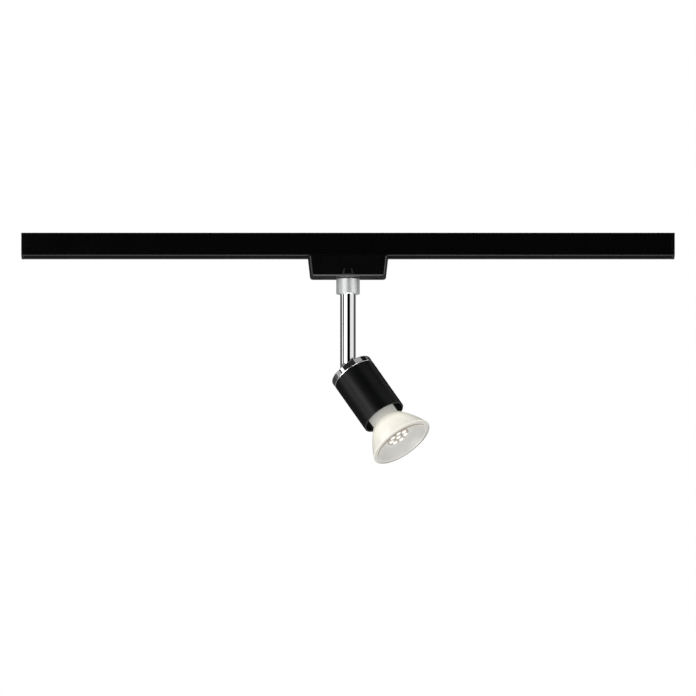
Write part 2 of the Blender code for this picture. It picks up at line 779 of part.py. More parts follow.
def make_wiring(frame):
    """The terminal block under the carrier and the two wires from it to the stem's cable."""
    top = PLATE_UNDER - CLEARANCE
    near = TERMINAL_X - TERMINAL_WIDTH / 2
    far = TERMINAL_X + TERMINAL_WIDTH / 2
    half = TERMINAL_LENGTH / 2
    box(
        "terminal_block",
        (near, TERMINAL_SHIFT - half, top - TERMINAL_HEIGHT),
        (far, TERMINAL_SHIFT + half, top),
        NYLON_WHITE,
        frame,
    )
    level = top - TERMINAL_HEIGHT / 4
    start = NECK_TOP + CABLE_PLAY + 2 * CLEARANCE
    for pole, sign, material in (("live", -1, WIRE_BROWN), ("neutral", 1, WIRE_BLUE)):
        inside = sign * CABLE_DIAMETER / 4
        outside = TERMINAL_SHIFT + sign * WIRE_SPACING / 2
        route = [
            (0, inside, start),
            (0, inside, level),
            (near / 3, inside, level),
            (near / 2, outside, level),
            (near - CLEARANCE, outside, level),
        ]
        wire(f"adapter_wire_{pole}", route, WIRE_DIAMETER, material, frame)


def make_lock(label, frame):
    """A coin-slotted spindle through the adapter and the wing that it turns over the rail's lips."""
    foot = ADAPTER_BOTTOM + LOCK_RECESS
    flange = FLOOR_TOP + CLEARANCE
    flange_top = flange + LOCK_FLANGE_THICKNESS
    shoulder = WING_UNDER - CLEARANCE
    head_radius = LOCK_HEAD_DIAMETER / 2
    flange_radius = LOCK_FLANGE_DIAMETER / 2
    shaft_radius = LOCK_SHAFT_DIAMETER / 2
    stub_radius = LOCK_STUB_DIAMETER / 2
    outline = [
        (0, WING_TOP),
        (stub_radius, WING_TOP),
        (stub_radius, shoulder),
        (shaft_radius, shoulder),
        (shaft_radius, flange_top),
        (flange_radius, flange_top),
        (flange_radius, flange),
        (head_radius, flange),
        (head_radius, foot),
        (0, foot),
    ]
    spindle = turned(f"lock_spindle_{label}", outline, ADAPTER_BLACK, frame, sides=SMALL_SIDES)
    coin_slot = box(
        f"coin_slot_{label}",
        (-LOCK_SLOT_WIDTH / 2, -head_radius - CUT_MARGIN, foot - CUT_MARGIN),
        (LOCK_SLOT_WIDTH / 2, head_radius + CUT_MARGIN, foot + LOCK_SLOT_DEPTH),
        None,
        frame,
    )
    cut(spindle, coin_slot)
    across = Matrix.Rotation(math.pi / 2, 4, "Z")
    bar = stadium(WING_LENGTH / 2, WING_WIDTH / 2)
    wing = prism(f"lock_wing_{label}", bar, WING_UNDER, WING_TOP, ZINC_STEEL, frame, across)
    stub_hole = cylinder(
        f"wing_hole_{label}",
        stub_radius + CLEARANCE,
        WING_UNDER - CUT_MARGIN,
        WING_TOP + CUT_MARGIN,
        None,
        frame,
    )
    cut(wing, stub_hole)


def make_neck(frame):
    """The hollow threaded neck under the adapter and the nut that holds it to the floor."""
    thread = NECK_THREAD_DIAMETER / 2
    outline = [
        (thread, NECK_TOP),
        (thread, COLLAR_TOP),
        (FLANGE_RADIUS, COLLAR_TOP),
        (FLANGE_RADIUS, NECK_BOTTOM),
        (CABLE_BORE_RADIUS, NECK_BOTTOM),
        (CABLE_BORE_RADIUS, NECK_TOP),
    ]
    turned("swivel_neck", outline, ZINC_STEEL, frame)
    nut = cylinder(
        "neck_nut", NUT_CORNER, NUT_UNDER, NUT_UNDER + NUT_THICKNESS, BRASS, frame, sides=6
    )
    nut_hole = cylinder(
        "nut_hole",
        thread + CLEARANCE,
        NUT_UNDER - CUT_MARGIN,
        NUT_UNDER + NUT_THICKNESS + CUT_MARGIN,
        None,
        frame,
        sides=ROUND_SIDES,
    )
    cut(nut, nut_hole)


def make_collar(frame):
    """The ring that carries the stem's flange and tightens it against the neck."""
    lip_bore = TUBE_RADIUS + CLEARANCE
    outline = [
        (COLLAR_BORE_RADIUS, COLLAR_TOP),
        (COLLAR_RADIUS - COLLAR_CHAMFER, COLLAR_TOP),
        (COLLAR_RADIUS, COLLAR_TOP - COLLAR_CHAMFER),
        (COLLAR_RADIUS, COLLAR_BOTTOM + COLLAR_CHAMFER),
        (COLLAR_RADIUS - COLLAR_CHAMFER, COLLAR_BOTTOM),
        (lip_bore, COLLAR_BOTTOM),
        (lip_bore, COLLAR_SHOULDER),
        (COLLAR_BORE_RADIUS, COLLAR_SHOULDER),
    ]
    turned("swivel_collar", outline, SATIN_NICKEL, frame)


def make_stem(frame):
    """The flanged tube, forked at its rounded foot, with its washer, cable and tilt pin."""
    foot = PIVOT_Z - TUBE_RADIUS
    outline = [
        (FLANGE_RADIUS, FLANGE_TOP),
        (FLANGE_RADIUS, FLANGE_UNDER),
        (TUBE_RADIUS, FLANGE_UNDER),
        (TUBE_RADIUS, foot),
        (BORE_RADIUS, foot),
        (BORE_RADIUS, FLANGE_TOP),
    ]
    tube = turned("stem_tube", outline, CHROME, frame)
    reach = FLANGE_RADIUS + CUT_MARGIN
    rounding = [(reach, FLANGE_TOP + CUT_MARGIN), (-reach, FLANGE_TOP + CUT_MARGIN), (-reach, PIVOT_Z)]
    rounding += arc((0, PIVOT_Z), TUBE_RADIUS + WELD, math.pi, 2 * math.pi) + [(reach, PIVOT_Z)]
    rounded_foot = prism("stem_foot", rounding, -reach, reach, None, frame, ACROSS_TILT)
    boolean(tube, rounded_foot, "INTERSECT")
    fork_half = LUG_THICKNESS / 2 + CLEARANCE
    fork_slot = box(
        "fork_slot",
        (-reach, -fork_half, foot - CUT_MARGIN),
        (reach, fork_half, SLOT_TOP),
        None,
        frame,
    )
    pin_radius = TILT_PIN_DIAMETER / 2
    pin_circle = arc((0, PIVOT_Z), pin_radius, 0, 2 * math.pi)[:-1]
    hole_circle = arc((0, PIVOT_Z), pin_radius + CLEARANCE, 0, 2 * math.pi)[:-1]
    pin_hole = prism("tilt_pin_hole", hole_circle, -reach, reach, None, frame, ACROSS_TILT)
    cut(tube, fork_slot, pin_hole)
    pin_half = TUBE_RADIUS - CLEARANCE
    prism("tilt_pin", pin_circle, -pin_half, pin_half, ZINC_STEEL, frame, ACROSS_TILT)
    washer = [
        (FLANGE_RADIUS, WASHER_TOP),
        (FLANGE_RADIUS, WASHER_UNDER),
        (CABLE_BORE_RADIUS, WASHER_UNDER),
        (CABLE_BORE_RADIUS, WASHER_TOP),
    ]
    turned("friction_washer", washer, NYLON_WHITE, frame)
    cylinder("stem_cable", CABLE_DIAMETER / 2, CABLE_END, NECK_TOP + CABLE_PLAY, CABLE_BLACK, frame)


def make_head(frame):
    """The end cap with its tilt lug, the sleeve, and the lampholder on its plate."""
    cap = make_head_cap(frame)
    sleeve = [
        (HEAD_RADIUS, SLEEVE_BACK),
        (HEAD_RADIUS, SLEEVE_FRONT),
        (SLEEVE_BORE_RADIUS, SLEEVE_FRONT),
        (SLEEVE_BORE_RADIUS, SLEEVE_BACK),
    ]
    turned("lamp_sleeve", sleeve, SLEEVE_BLACK, frame)
    plate = cylinder(
        "holder_plate",
        SPIGOT_BORE_RADIUS - 2 * CLEARANCE,
        PLATE_FRONT,
        PLATE_BACK,
        ZINC_STEEL,
        frame,
        sides=ROUND_SIDES,
    )
    for label, sign in (("left", -1), ("right", 1)):
        make_plate_screw(label, sign, cap, plate, frame)
    make_head_cable(cap, plate, frame)
    make_lampholder(plate, frame)


def make_head_cap(frame):
    """A rimmed plate and band with a spigot for the sleeve, and a lug that the tilt pin passes through."""
    rim_bore = HEAD_RADIUS - CAP_RIM_WALL
    outline = [
        (0, CAP_BACK),
        (rim_bore, CAP_BACK),
        (rim_bore, CAP_EDGE),
        (HEAD_RADIUS - CAP_BEVEL, CAP_EDGE),
        (HEAD_RADIUS, CAP_EDGE - CAP_BEVEL),
        (HEAD_RADIUS, CAP_FRONT),
        (SPIGOT_RADIUS, CAP_FRONT),
        (SPIGOT_RADIUS, CAP_FRONT - SPIGOT_LENGTH),
        (SPIGOT_BORE_RADIUS, CAP_FRONT - SPIGOT_LENGTH),
        (SPIGOT_BORE_RADIUS, CAP_INSIDE),
        (0, CAP_INSIDE),
    ]
    cap = turned("head_cap", outline, CHROME, frame)
    root = (CAP_BACK + CAP_INSIDE) / 2
    lug_outline = [(-LUG_RADIUS, root), (LUG_RADIUS, root)] + arc((0, 0), LUG_RADIUS, 0, math.pi)
    half = LUG_THICKNESS / 2
    lug = prism("tilt_lug", lug_outline, -half, half, None, frame, ACROSS_TILT)
    hole_circle = arc((0, 0), TILT_PIN_DIAMETER / 2 + CLEARANCE, 0, 2 * math.pi)[:-1]
    reach = half + CUT_MARGIN
    lug_hole = prism("lug_hole", hole_circle, -reach, reach, None, frame, ACROSS_TILT)
    join(cap, lug)
    cut(cap, lug_hole)
    return cap


def row_reach(radius):
    """How far along its row, beside the tube, a round piece on the cap goes before it meets the spigot's bore."""
    furthest = SPIGOT_BORE_RADIUS - HEAD_BOSS_INSET - radius
    return math.sqrt(furthest**2 - HEAD_ROW_OFFSET**2)


def make_plate_screw(label, sign, cap, plate, frame):
    """A screw through the cap's back and a boss into the holder plate."""
    place = (sign * row_reach(HEAD_BOSS_DIAMETER / 2), -sign * HEAD_ROW_OFFSET)
    radius = HEAD_SCREW_DIAMETER / 2
    head = HEAD_SCREW_HEAD_DIAMETER / 2
    boss = cylinder(
        f"head_boss_{label}",
        HEAD_BOSS_DIAMETER / 2,
        BOSS_FRONT,
        (CAP_BACK + CAP_INSIDE) / 2,
        None,
        frame,
        at=place,
    )
    hole = cylinder(
        f"head_screw_hole_{label}",
        radius + CLEARANCE,
        PLATE_FRONT - CUT_MARGIN,
        CAP_BACK + CUT_MARGIN,
        None,
        frame,
        at=place,
    )
    join(cap, boss)
    cut(cap, hole)
    cut(plate, hole)
    seat = CAP_BACK + CLEARANCE
    top = seat + HEAD_SCREW_HEAD_HEIGHT
    outline = [(0, top), (head, top), (head, seat), (radius, seat), (radius, PLATE_FRONT), (0, PLATE_FRONT)]
    turned(f"plate_screw_{label}", outline, ZINC_STEEL, frame, at=place, sides=SMALL_SIDES)


def make_head_cable(cap, plate, frame):
    """The grommet in the cap's back and the cable that enters the head through it."""
    body = GROMMET_DIAMETER / 2
    flange = GROMMET_FLANGE_DIAMETER / 2
    place = (row_reach(flange), HEAD_ROW_OFFSET)
    bore = HEAD_CABLE_DIAMETER / 2 + CLEARANCE
    outside = CAP_BACK + CLEARANCE
    inside = CAP_INSIDE - CLEARANCE
    outline = [
        (bore, outside + GROMMET_FLANGE),
        (flange, outside + GROMMET_FLANGE),
        (flange, outside),
        (body, outside),
        (body, inside),
        (flange, inside),
        (flange, inside - GROMMET_FLANGE),
        (bore, inside - GROMMET_FLANGE),
    ]
    turned("cable_grommet", outline, CABLE_BLACK, frame, at=place, sides=SMALL_SIDES)
    cap_hole = cylinder(
        "grommet_hole", body + CLEARANCE, CAP_INSIDE - CUT_MARGIN, CAP_BACK + CUT_MARGIN, None, frame, at=place
    )
    plate_hole = cylinder(
        "plate_cable_hole", bore, PLATE_FRONT - CUT_MARGIN, PLATE_BACK + CUT_MARGIN, None, frame, at=place
    )
    cut(cap, cap_hole)
    cut(plate, plate_hole)
    tail = outside + GROMMET_FLANGE + HEAD_CABLE_TAIL
    cylinder("head_cable", HEAD_CABLE_DIAMETER / 2, PLATE_FRONT, tail, CABLE_BLACK, frame, at=place)


def make_lampholder(plate, frame):
    """The twist-lock lampholder: keyhole slots over wider wells, a spring in each well, and two screws."""
    holder = cylinder(
        "lampholder", HOLDER_DIAMETER / 2, HOLDER_FACE, HOLDER_BACK, CERAMIC, frame, sides=ROUND_SIDES
    )
    below = HOLDER_FACE - CUT_MARGIN
    pin_radius = PIN_SPACING / 2
    well_width = PIN_HEAD_DIAMETER + 2 * CLEARANCE
    slot_width = PIN_NECK_DIAMETER + 2 * CLEARANCE
    lip_inside = HOLDER_FACE + HOLDER_LIP
    for pole, locked in (("live", 0.0), ("neutral", math.pi)):
        free = locked - LAMP_TWIST
        entry_at = (pin_radius * math.cos(free), pin_radius * math.sin(free))
        well_outline = curved_slot(pin_radius, well_width, free, locked)
        slot_outline = curved_slot(pin_radius, slot_width, free, locked)
        well = prism(f"holder_well_{pole}", well_outline, lip_inside, WELL_FLOOR, None, frame)
        slot = prism(f"holder_slot_{pole}", slot_outline, below, lip_inside + CUT_MARGIN, None, frame)
        entry = cylinder(
            f"holder_entry_{pole}", well_width / 2, below, lip_inside + CUT_MARGIN, None, frame, at=entry_at
        )
        cut(holder, well, slot, entry)
        foot = WELL_FLOOR - CLEARANCE - LEAF_THICKNESS / 2
        crown = PIN_TIP + CLEARANCE + LEAF_THICKNESS / 2
        half = HOLDER_LEAF_LENGTH / 2
        spring = strip(
            f"holder_contact_{pole}",
            [(-half, foot), (0, crown), (half, foot)],
            HOLDER_LEAF_WIDTH,
            BRONZE,
            frame,
            ALONG_RAIL,
        )
        spring.location = (pin_radius * math.cos(locked), 0, 0)
    for label, sign in (("front", -1), ("back", 1)):
        make_holder_screw(label, sign, holder, plate, frame)


def make_holder_screw(label, sign, holder, plate, frame):
    """A screw sunk in the lampholder's face that holds it to the plate."""
    place = (0, sign * HOLDER_SCREW_SPACING / 2)
    radius = HEAD_SCREW_DIAMETER / 2
    head = HEAD_SCREW_HEAD_DIAMETER / 2
    hole = cylinder(
        f"holder_screw_hole_{label}",
        radius + CLEARANCE,
        HOLDER_FACE - CUT_MARGIN,
        PLATE_BACK + CUT_MARGIN,
        None,
        frame,
        at=place,
    )
    sink = cylinder(
        f"holder_screw_sink_{label}",
        head + CLEARANCE,
        HOLDER_FACE - CUT_MARGIN,
        HOLDER_SCREW_SEAT,
        None,
        frame,
        at=place,
    )
    cut(holder, hole, sink)
    cut(plate, hole)
    seat = HOLDER_SCREW_SEAT - CLEARANCE
    end = seat - HEAD_SCREW_HEAD_HEIGHT
    outline = [(0, PLATE_BACK), (radius, PLATE_BACK), (radius, seat), (head, seat), (head, end), (0, end)]
    turned(f"holder_screw_{label}", outline, ZINC_STEEL, frame, at=place, sides=SMALL_SIDES)


def flare_radius(behind_rim):
    """The lamp shell's outer radius at a distance behind its rim."""
    share = behind_rim / LAMP_FLARE
    bowed = share * (1 - LAMP_FLARE_BOW) + LAMP_FLARE_BOW * share * share
    return LAMP_RADIUS - (LAMP_RADIUS - NECK_RADIUS) * bowed


def make_lamp(frame):
    """The reflector lamp: base and pins, flared shell, dish, lenses, board, heat sink and driver."""
    seam = CLEARANCE / 2
    make_lamp_base(FLARE_BACK + seam, frame)
    make_lamp_shell(FLARE_BACK - seam, frame)
    hub = LENS_PLATE_RADIUS + CLEARANCE
    brim = RIM_BORE_RADIUS - CLEARANCE
    dish = [
        (brim, DISH_FRONT + DISH_THICKNESS),
        (brim, DISH_FRONT),
        (hub, DISH_CENTRE),
        (hub, DISH_CENTRE + DISH_THICKNESS),
    ]
    turned("reflector_dish", dish, DISH_GREY, frame)
    make_lenses(frame)
    board = [(0, BOARD_BACK), (LENS_PLATE_RADIUS, BOARD_BACK), (LENS_PLATE_RADIUS, BOARD_FRONT), (0, BOARD_FRONT)]
    turned("led_board", board, NYLON_WHITE, frame)
    core = HEAT_SINK_DIAMETER / 2
    sink_back = FLARE_BACK + LAMP_SPIGOT
    flange = SINK_FRONT + HEAT_SINK_FLANGE
    sink = [
        (0, sink_back),
        (core, sink_back),
        (core, flange),
        (LENS_PLATE_RADIUS, flange),
        (LENS_PLATE_RADIUS, SINK_FRONT),
        (0, SINK_FRONT),
    ]
    turned("heat_sink", sink, ALUMINIUM, frame)
    top = PIN_END - CLEARANCE
    box(
        "driver_board",
        (-DRIVER_WIDTH / 2, -DRIVER_THICKNESS / 2, top - DRIVER_LENGTH),
        (DRIVER_WIDTH / 2, DRIVER_THICKNESS / 2, top),
        BOARD_GREEN,
        frame,
    )


def make_lamp_base(front, frame):
    """The cup that holds the driver, with a stepped contact pin on each side of its centre."""
    floor = LAMP_BACK - LAMP_FLOOR
    outline = [
        (0, LAMP_BACK),
        (NECK_RADIUS, LAMP_BACK),
        (NECK_RADIUS, front),
        (NECK_BORE_RADIUS, front),
        (NECK_BORE_RADIUS, floor),
        (0, floor),
    ]
    base = turned("lamp_base", outline, LAMP_WHITE, frame)
    neck = PIN_NECK_DIAMETER / 2
    head = PIN_HEAD_DIAMETER / 2
    for pole, sign in (("live", 1), ("neutral", -1)):
        place = (sign * PIN_SPACING / 2, 0)
        hole = cylinder(
            f"lamp_pin_hole_{pole}",
            neck + CLEARANCE,
            floor - CUT_MARGIN,
            LAMP_BACK + CUT_MARGIN,
            None,
            frame,
            at=place,
        )
        cut(base, hole)
        pin = [
            (0, PIN_TIP),
            (head, PIN_TIP),
            (head, PIN_SHOULDER),
            (neck, PIN_SHOULDER),
            (neck, PIN_END),
            (0, PIN_END),
        ]
        turned(f"lamp_pin_{pole}", pin, BRASS, frame, at=place, sides=SMALL_SIDES)


def make_lamp_shell(back, frame):
    """The flared translucent shell: a spigot in the base, the bowed flare and an inward rim."""
    plug = NECK_BORE_RADIUS - CLEARANCE
    bore = HEAT_SINK_DIAMETER / 2 + CLEARANCE
    steps = [(FLARE_STEPS - i) / FLARE_STEPS for i in range(FLARE_STEPS + 1)]
    depth = back - LAMP_RIM
    outside = [(flare_radius(depth * share), LAMP_RIM + depth * share) for share in steps]
    first, last = RIM_LIP, LAMP_FLARE - 2 * LAMP_WALL
    lining = [first + (last - first) * (1 - share) for share in steps]
    inside = [(flare_radius(behind) - LAMP_WALL, LAMP_RIM + behind) for behind in lining]
    outline = [(plug, back + LAMP_SPIGOT), (plug, back)]
    outline += outside[:-1]
    outline += [
        (flare_radius(RIM_EDGE), LAMP_RIM + RIM_EDGE),
        (flare_radius(RIM_EDGE) - RIM_EDGE / 2, LAMP_RIM),
        (RIM_BORE_RADIUS, LAMP_RIM),
        (RIM_BORE_RADIUS, LAMP_RIM + RIM_LIP),
    ]
    outline += inside + [(bore, inside[-1][1]), (bore, back + LAMP_SPIGOT)]
    turned("lamp_shell", outline, LAMP_WHITE, frame)


def make_lenses(frame):
    """A clear plate with one lens over each light-emitting chip: a ring of them and one in the middle."""
    disc = [
        (0, LENS_PLATE_BACK),
        (LENS_PLATE_RADIUS, LENS_PLATE_BACK),
        (LENS_PLATE_RADIUS, LENS_PLATE_FRONT),
        (0, LENS_PLATE_FRONT),
    ]
    array = turned("lens_array", disc, LENS_CLEAR, frame)
    centre_height = (LENS_PLATE_FRONT + LENS_PLATE_BACK) / 2
    places = [(0, 0)]
    for i in range(LENS_COUNT):
        angle = 2 * math.pi * i / LENS_COUNT
        places.append((LENS_RING_RADIUS * math.cos(angle), LENS_RING_RADIUS * math.sin(angle)))
    domes = bmesh.new()
    for x, y in places:
        bmesh.ops.create_uvsphere(
            domes,
            u_segments=LENS_SIDES,
            v_segments=LENS_SIDES // 2,
            radius=LENS_DIAMETER / 2,
            matrix=Matrix.Translation((x, y, centre_height)),
        )
    everything = domes.verts[:] + domes.edges[:] + domes.faces[:]
    bmesh.ops.bisect_plane(
        domes,
        geom=everything,
        plane_co=(0, 0, centre_height),
        plane_no=(0, 0, 1),
        clear_outer=True,
    )
    bmesh.ops.holes_fill(domes, edges=domes.edges)
    join(array, mesh_object("lens_domes", domes, None, frame))


def settle_shading():
    """Gives every piece its final mesh, shaded smooth up to its sharp edges."""
    graph = bpy.context.evaluated_depsgraph_get()
    settled = {}
    for obj in PARTS.objects:
        if obj.type == "MESH":
            settled[obj] = bpy.data.meshes.new_from_object(obj.evaluated_get(graph))
    for obj, mesh in settled.items():
        obj.modifiers.clear()
        obj.data = mesh
        mesh.shade_smooth()
        mesh.set_sharp_from_angle(angle=SHARP_ANGLE)


def main():
    rail_frame = axis_frame("rail_frame")
    slide_frame = axis_frame("adapter_slide", rail_frame)
    make_rail(rail_frame)
    make_adapter(slide_frame)
    make_neck(slide_frame)
    for label, sign in (("left", -1), ("right", 1)):
        make_lock(label, axis_frame(f"lock_axis_{label}", slide_frame, (sign * LOCK_OFFSET, 0, 0)))
    make_collar(axis_frame("collar_axis", slide_frame))
    pan_frame = axis_frame("pan_axis", slide_frame, rotation=(0, 0, PAN))
    make_stem(pan_frame)
    tilt_frame = axis_frame("tilt_axis", pan_frame, (0, 0, PIVOT_Z), (0, -TILT, 0))
    make_head(tilt_frame)
    make_lamp(axis_frame("lamp_axis", tilt_frame))
    bpy.context.view_layer.update()
    settle_shading()


main()
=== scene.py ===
"""Finished surfaces for a ceiling track spotlight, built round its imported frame.

Metres, +Z up, the rail along X. The head and lamp are drawn about the tilt pivot with the lamp pointing down
-Z, and HEAD turns them to their aim.
"""

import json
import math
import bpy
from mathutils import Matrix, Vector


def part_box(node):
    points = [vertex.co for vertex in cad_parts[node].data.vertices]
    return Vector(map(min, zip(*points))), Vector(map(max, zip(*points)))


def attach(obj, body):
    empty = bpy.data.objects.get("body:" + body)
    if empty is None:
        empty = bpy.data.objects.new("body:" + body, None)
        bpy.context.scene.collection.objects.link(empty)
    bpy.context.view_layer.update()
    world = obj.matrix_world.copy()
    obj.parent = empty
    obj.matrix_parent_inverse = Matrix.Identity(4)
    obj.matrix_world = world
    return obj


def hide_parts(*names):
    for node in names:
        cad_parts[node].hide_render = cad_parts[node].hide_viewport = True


bl_info = {
    "name": "Track Spotlight",
    "version": (1, 0, 0),
    "blender": (4, 5, 0),
    "location": "View3D > Sidebar > Spotlight",
    "description": "Builds the finished surfaces of a ceiling track spotlight round its packed frame",
    "category": "Add Mesh",
}

import bmesh
import bpy
from bpy.props import FloatProperty, FloatVectorProperty, IntProperty, PointerProperty
from mathutils import Matrix, Vector

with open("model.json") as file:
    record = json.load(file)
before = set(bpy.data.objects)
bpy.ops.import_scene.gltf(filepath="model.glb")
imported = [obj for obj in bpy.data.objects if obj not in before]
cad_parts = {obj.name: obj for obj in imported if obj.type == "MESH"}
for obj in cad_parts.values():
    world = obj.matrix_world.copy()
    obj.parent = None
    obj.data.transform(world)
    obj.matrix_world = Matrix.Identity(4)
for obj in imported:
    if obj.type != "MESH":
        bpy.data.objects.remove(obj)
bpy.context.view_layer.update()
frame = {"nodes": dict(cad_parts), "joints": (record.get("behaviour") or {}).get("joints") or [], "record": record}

# Sides and steps of curved shapes, and the angle past which an edge stays sharp
ROUND = 128
SMALL = 48
CORNER_STEPS = 5
FILLET_STEPS = 8
FLARE_STEPS = 40
PANEL_STEPS = 12
MOST_SIDES = 4
SHARP = math.radians(33)
FULL_TURN = 2 * math.pi

# Play between pieces, how far a cut runs past its piece, and what counts as one point or one straight edge
GAP = 0.0003
MARGIN = 0.001
WELD = 0.000004
TOUCH = 1e-6
SPARE_BEND = 0.12

# A hole in the cap's back, as a share of the screw head or grommet over it
HOLE_SHARE = 0.5

# The stage: how far the camera sees, in distances to the object, the floor's grey and how white it is seen,
# and the upper left box and the right rib card as shares of their fellows
CLIP_DISTANCES = 10
FLOOR_GREY = (0.82, 0.82, 0.82)
FLOOR_WHITE = 0.7
UPPER_KEY_SHARE = 0.6
RIGHT_RIB_SHARE = 0.7

# Where the frame puts things
JOINTS = {joint["name"]: joint for joint in frame["joints"]}
SLOTS = {row["node"]: row["material_slot"] for row in frame["record"]["subparts"]}
SIDES = (("left", -1), ("right", 1))
UPRIGHT = Matrix.Identity(4)
ALONG_RAIL = Matrix(((0, 0, 1, 0), (1, 0, 0, 0), (0, 1, 0, 0), (0, 0, 0, 1)))
ACROSS = Matrix.Rotation(math.pi / 2, 4, "X")
PIVOT = Vector(JOINTS["head_tilt"]["pos_m"])
LAMP_AXIS = Vector(JOINTS["lamp_twist"]["axis"]).normalized()
TILT_AXIS = Vector(JOINTS["head_tilt"]["axis"]).normalized()


def placed(origin, up):
    """A placing matrix at an origin, its Z along up and its Y against the tilt axis."""
    across = -TILT_AXIS
    turn = Matrix((across.cross(up), across, up)).transposed()
    return Matrix.Translation(origin) @ turn.to_4x4()


HEAD = placed(PIVOT, -LAMP_AXIS)
STEM = placed(PIVOT, Vector((0, 0, 1)))


def points_of(node, place):
    """A node's points, measured from a placing matrix."""
    back = place.inverted()
    return [back @ vert.co for vert in frame["nodes"][node].data.vertices]


def turned_span(node, place):
    """A node's lowest and highest station on the Z of a placing matrix, and its largest radius from it."""
    points = points_of(node, place)
    stations = [point.z for point in points]
    return min(stations), max(stations), max(point.xy.length for point in points)


# The lamp's front: the side of its rim with painted shade, and its dish's ripple in radians from middle to brim
LAMP_RIM, _, LAMP_RADIUS = turned_span("lamp_shell", HEAD)
RIM_MIDDLE = LAMP_AXIS * -LAMP_RIM
RIM_SHADE_SIDE = Vector((0.6, 0.0, -0.8))
DISH_RIPPLE = 226.0


# What a user would change


def length(name, description, default):
    """A size in metres."""
    return FloatProperty(
        name=name, description=description, default=default, min=0.0, precision=4, unit="LENGTH"
    )


def angle(name, description, default):
    """An angle, given here in degrees."""
    return FloatProperty(name=name, description=description, default=math.radians(default), unit="ROTATION")


def share(name, description, default, highest=1.0):
    """A plain number from nothing to a highest value."""
    return FloatProperty(name=name, description=description, default=default, min=0.0, max=highest)


def paint(name, description, default):
    """A linear colour."""
    return FloatVectorProperty(
        name=name, description=description, default=default, size=3, min=0.0, max=1.0, subtype="COLOR"
    )


class RailSizes(bpy.types.PropertyGroup):
    """Sizes of the ceiling rail."""

    edge: length("Edge", "Rounding of the extrusion's long edges", 0.0006)
    wall: length("Wall", "Thickness of the side walls and lips", 0.0015)
    web: length("Web", "Thickness of the web that lies on the ceiling", 0.0016)
    slot: length("Slot", "Width of the slot between the lips", 0.0170)
    hole: length("Hole", "Diameter of the fixing holes", 0.0045)
    hole_spacing: length("Hole spacing", "Distance between the fixing holes", 0.340)
    end_plate: length("End plate", "Thickness of each end cap's plate", 0.00227)
    end_edge: length("End edge", "Rounding of the end caps", 0.00015)


class AdapterSizes(bpy.types.PropertyGroup):
    """Sizes of the adapter that slides in the rail."""

    draft: angle("Draft", "Lean of the moulded sides", 6.3)
    corner: length("Corner", "Rounding of the upright edges", 0.0025)
    fillet: length("Fillet", "Rounding of the lower edges", 0.0018)
    rib_height: length("Rib height", "Height of the tapered rib over the swivel", 0.0046)
    rib_foot: length("Rib foot", "Half the rib's width at its foot", 0.0047)
    rib_foot_rise: length("Rib foot rise", "How far the rib's foot stands out", 0.0015)
    rib_top: length("Rib top", "Half the rib's width at its top", 0.0030)
    rib_top_rise: length("Rib top rise", "How far the rib's top stands out", 0.0010)
    rib_edge: length("Rib edge", "Rounding of the rib's edges", 0.00012)
    wall: length("Wall", "Thickness of the sides", 0.0018)
    floor: length("Floor", "Thickness of the floor", 0.0022)
    neck_hole: length("Neck hole", "Diameter of the hole for the swivel's neck", 0.0104)
    lock_head: length("Lock head", "Diameter of each lock's head", 0.0080)
    lock_flange: length("Lock flange", "Thickness of the flange behind a lock's head", 0.0012)
    lock_shaft: length("Lock shaft", "Diameter of a lock's shaft", 0.0050)
    lock_stub: length("Lock stub", "Diameter of the end that carries the wing", 0.0036)
    lock_stub_rise: length("Stub rise", "Height of that end", 0.0036)
    coin_slot: length("Coin slot", "Width and depth of the slot in a lock's head", 0.0012)


class SwivelSizes(bpy.types.PropertyGroup):
    """Sizes of the collar, the stem and the tilt joint."""

    collar_chamfer: length("Collar chamfer", "Chamfer at both ends of the collar", 0.0004)
    collar_wall: length("Collar wall", "Thickness of the collar", 0.0015)
    collar_lip: length("Collar lip", "Height of the lip under the stem's flange", 0.0025)
    tube_wall: length("Tube wall", "Thickness of the stem's tube", 0.0012)
    flange_step: length("Flange step", "How far the flange stands out of the tube", 0.0012)
    flange_height: length("Flange height", "Height of the flange", 0.0024)
    fork_gap: length("Fork gap", "Width of the slot in the stem's foot", 0.0046)
    fork_rise: length("Fork rise", "Height of that slot above the pivot", 0.0053)
    pin: length("Pin", "Diameter of the tilt pin", 0.0030)
    lug: length("Lug", "Thickness of the head's lug", 0.0040)
    lug_radius: length("Lug radius", "Radius of the lug about the pivot", 0.0044)


class HeadSizes(bpy.types.PropertyGroup):
    """Sizes of the head's cap, sleeve and screws."""

    band: length("Band", "Height of the cap's polished band", 0.0050)
    plate: length("Plate", "Thickness of the cap's back", 0.0020)
    cap_edge: length("Cap edge", "Rounding of the cap's edges", 0.0008)
    rim_rise: length("Rim rise", "Height of the rim round the cap's back", 0.0018)
    rim_wall: length("Rim wall", "Thickness of that rim", 0.0016)
    spigot: length("Spigot", "Length of the spigot inside the sleeve", 0.0050)
    spigot_wall: length("Spigot wall", "Thickness of the spigot", 0.0012)
    sleeve_wall: length("Sleeve wall", "Thickness of the sleeve", 0.0012)
    sleeve_edge: length("Sleeve edge", "Rounding of the sleeve's ends", 0.0003)
    screw_height: length("Screw height", "Height of the screws' heads", 0.0014)
    screw_shank: length("Screw shank", "Diameter of the screws' shanks", 0.0026)
    screw_slot: length("Screw slot", "Width and depth of the screws' slots", 0.0007)


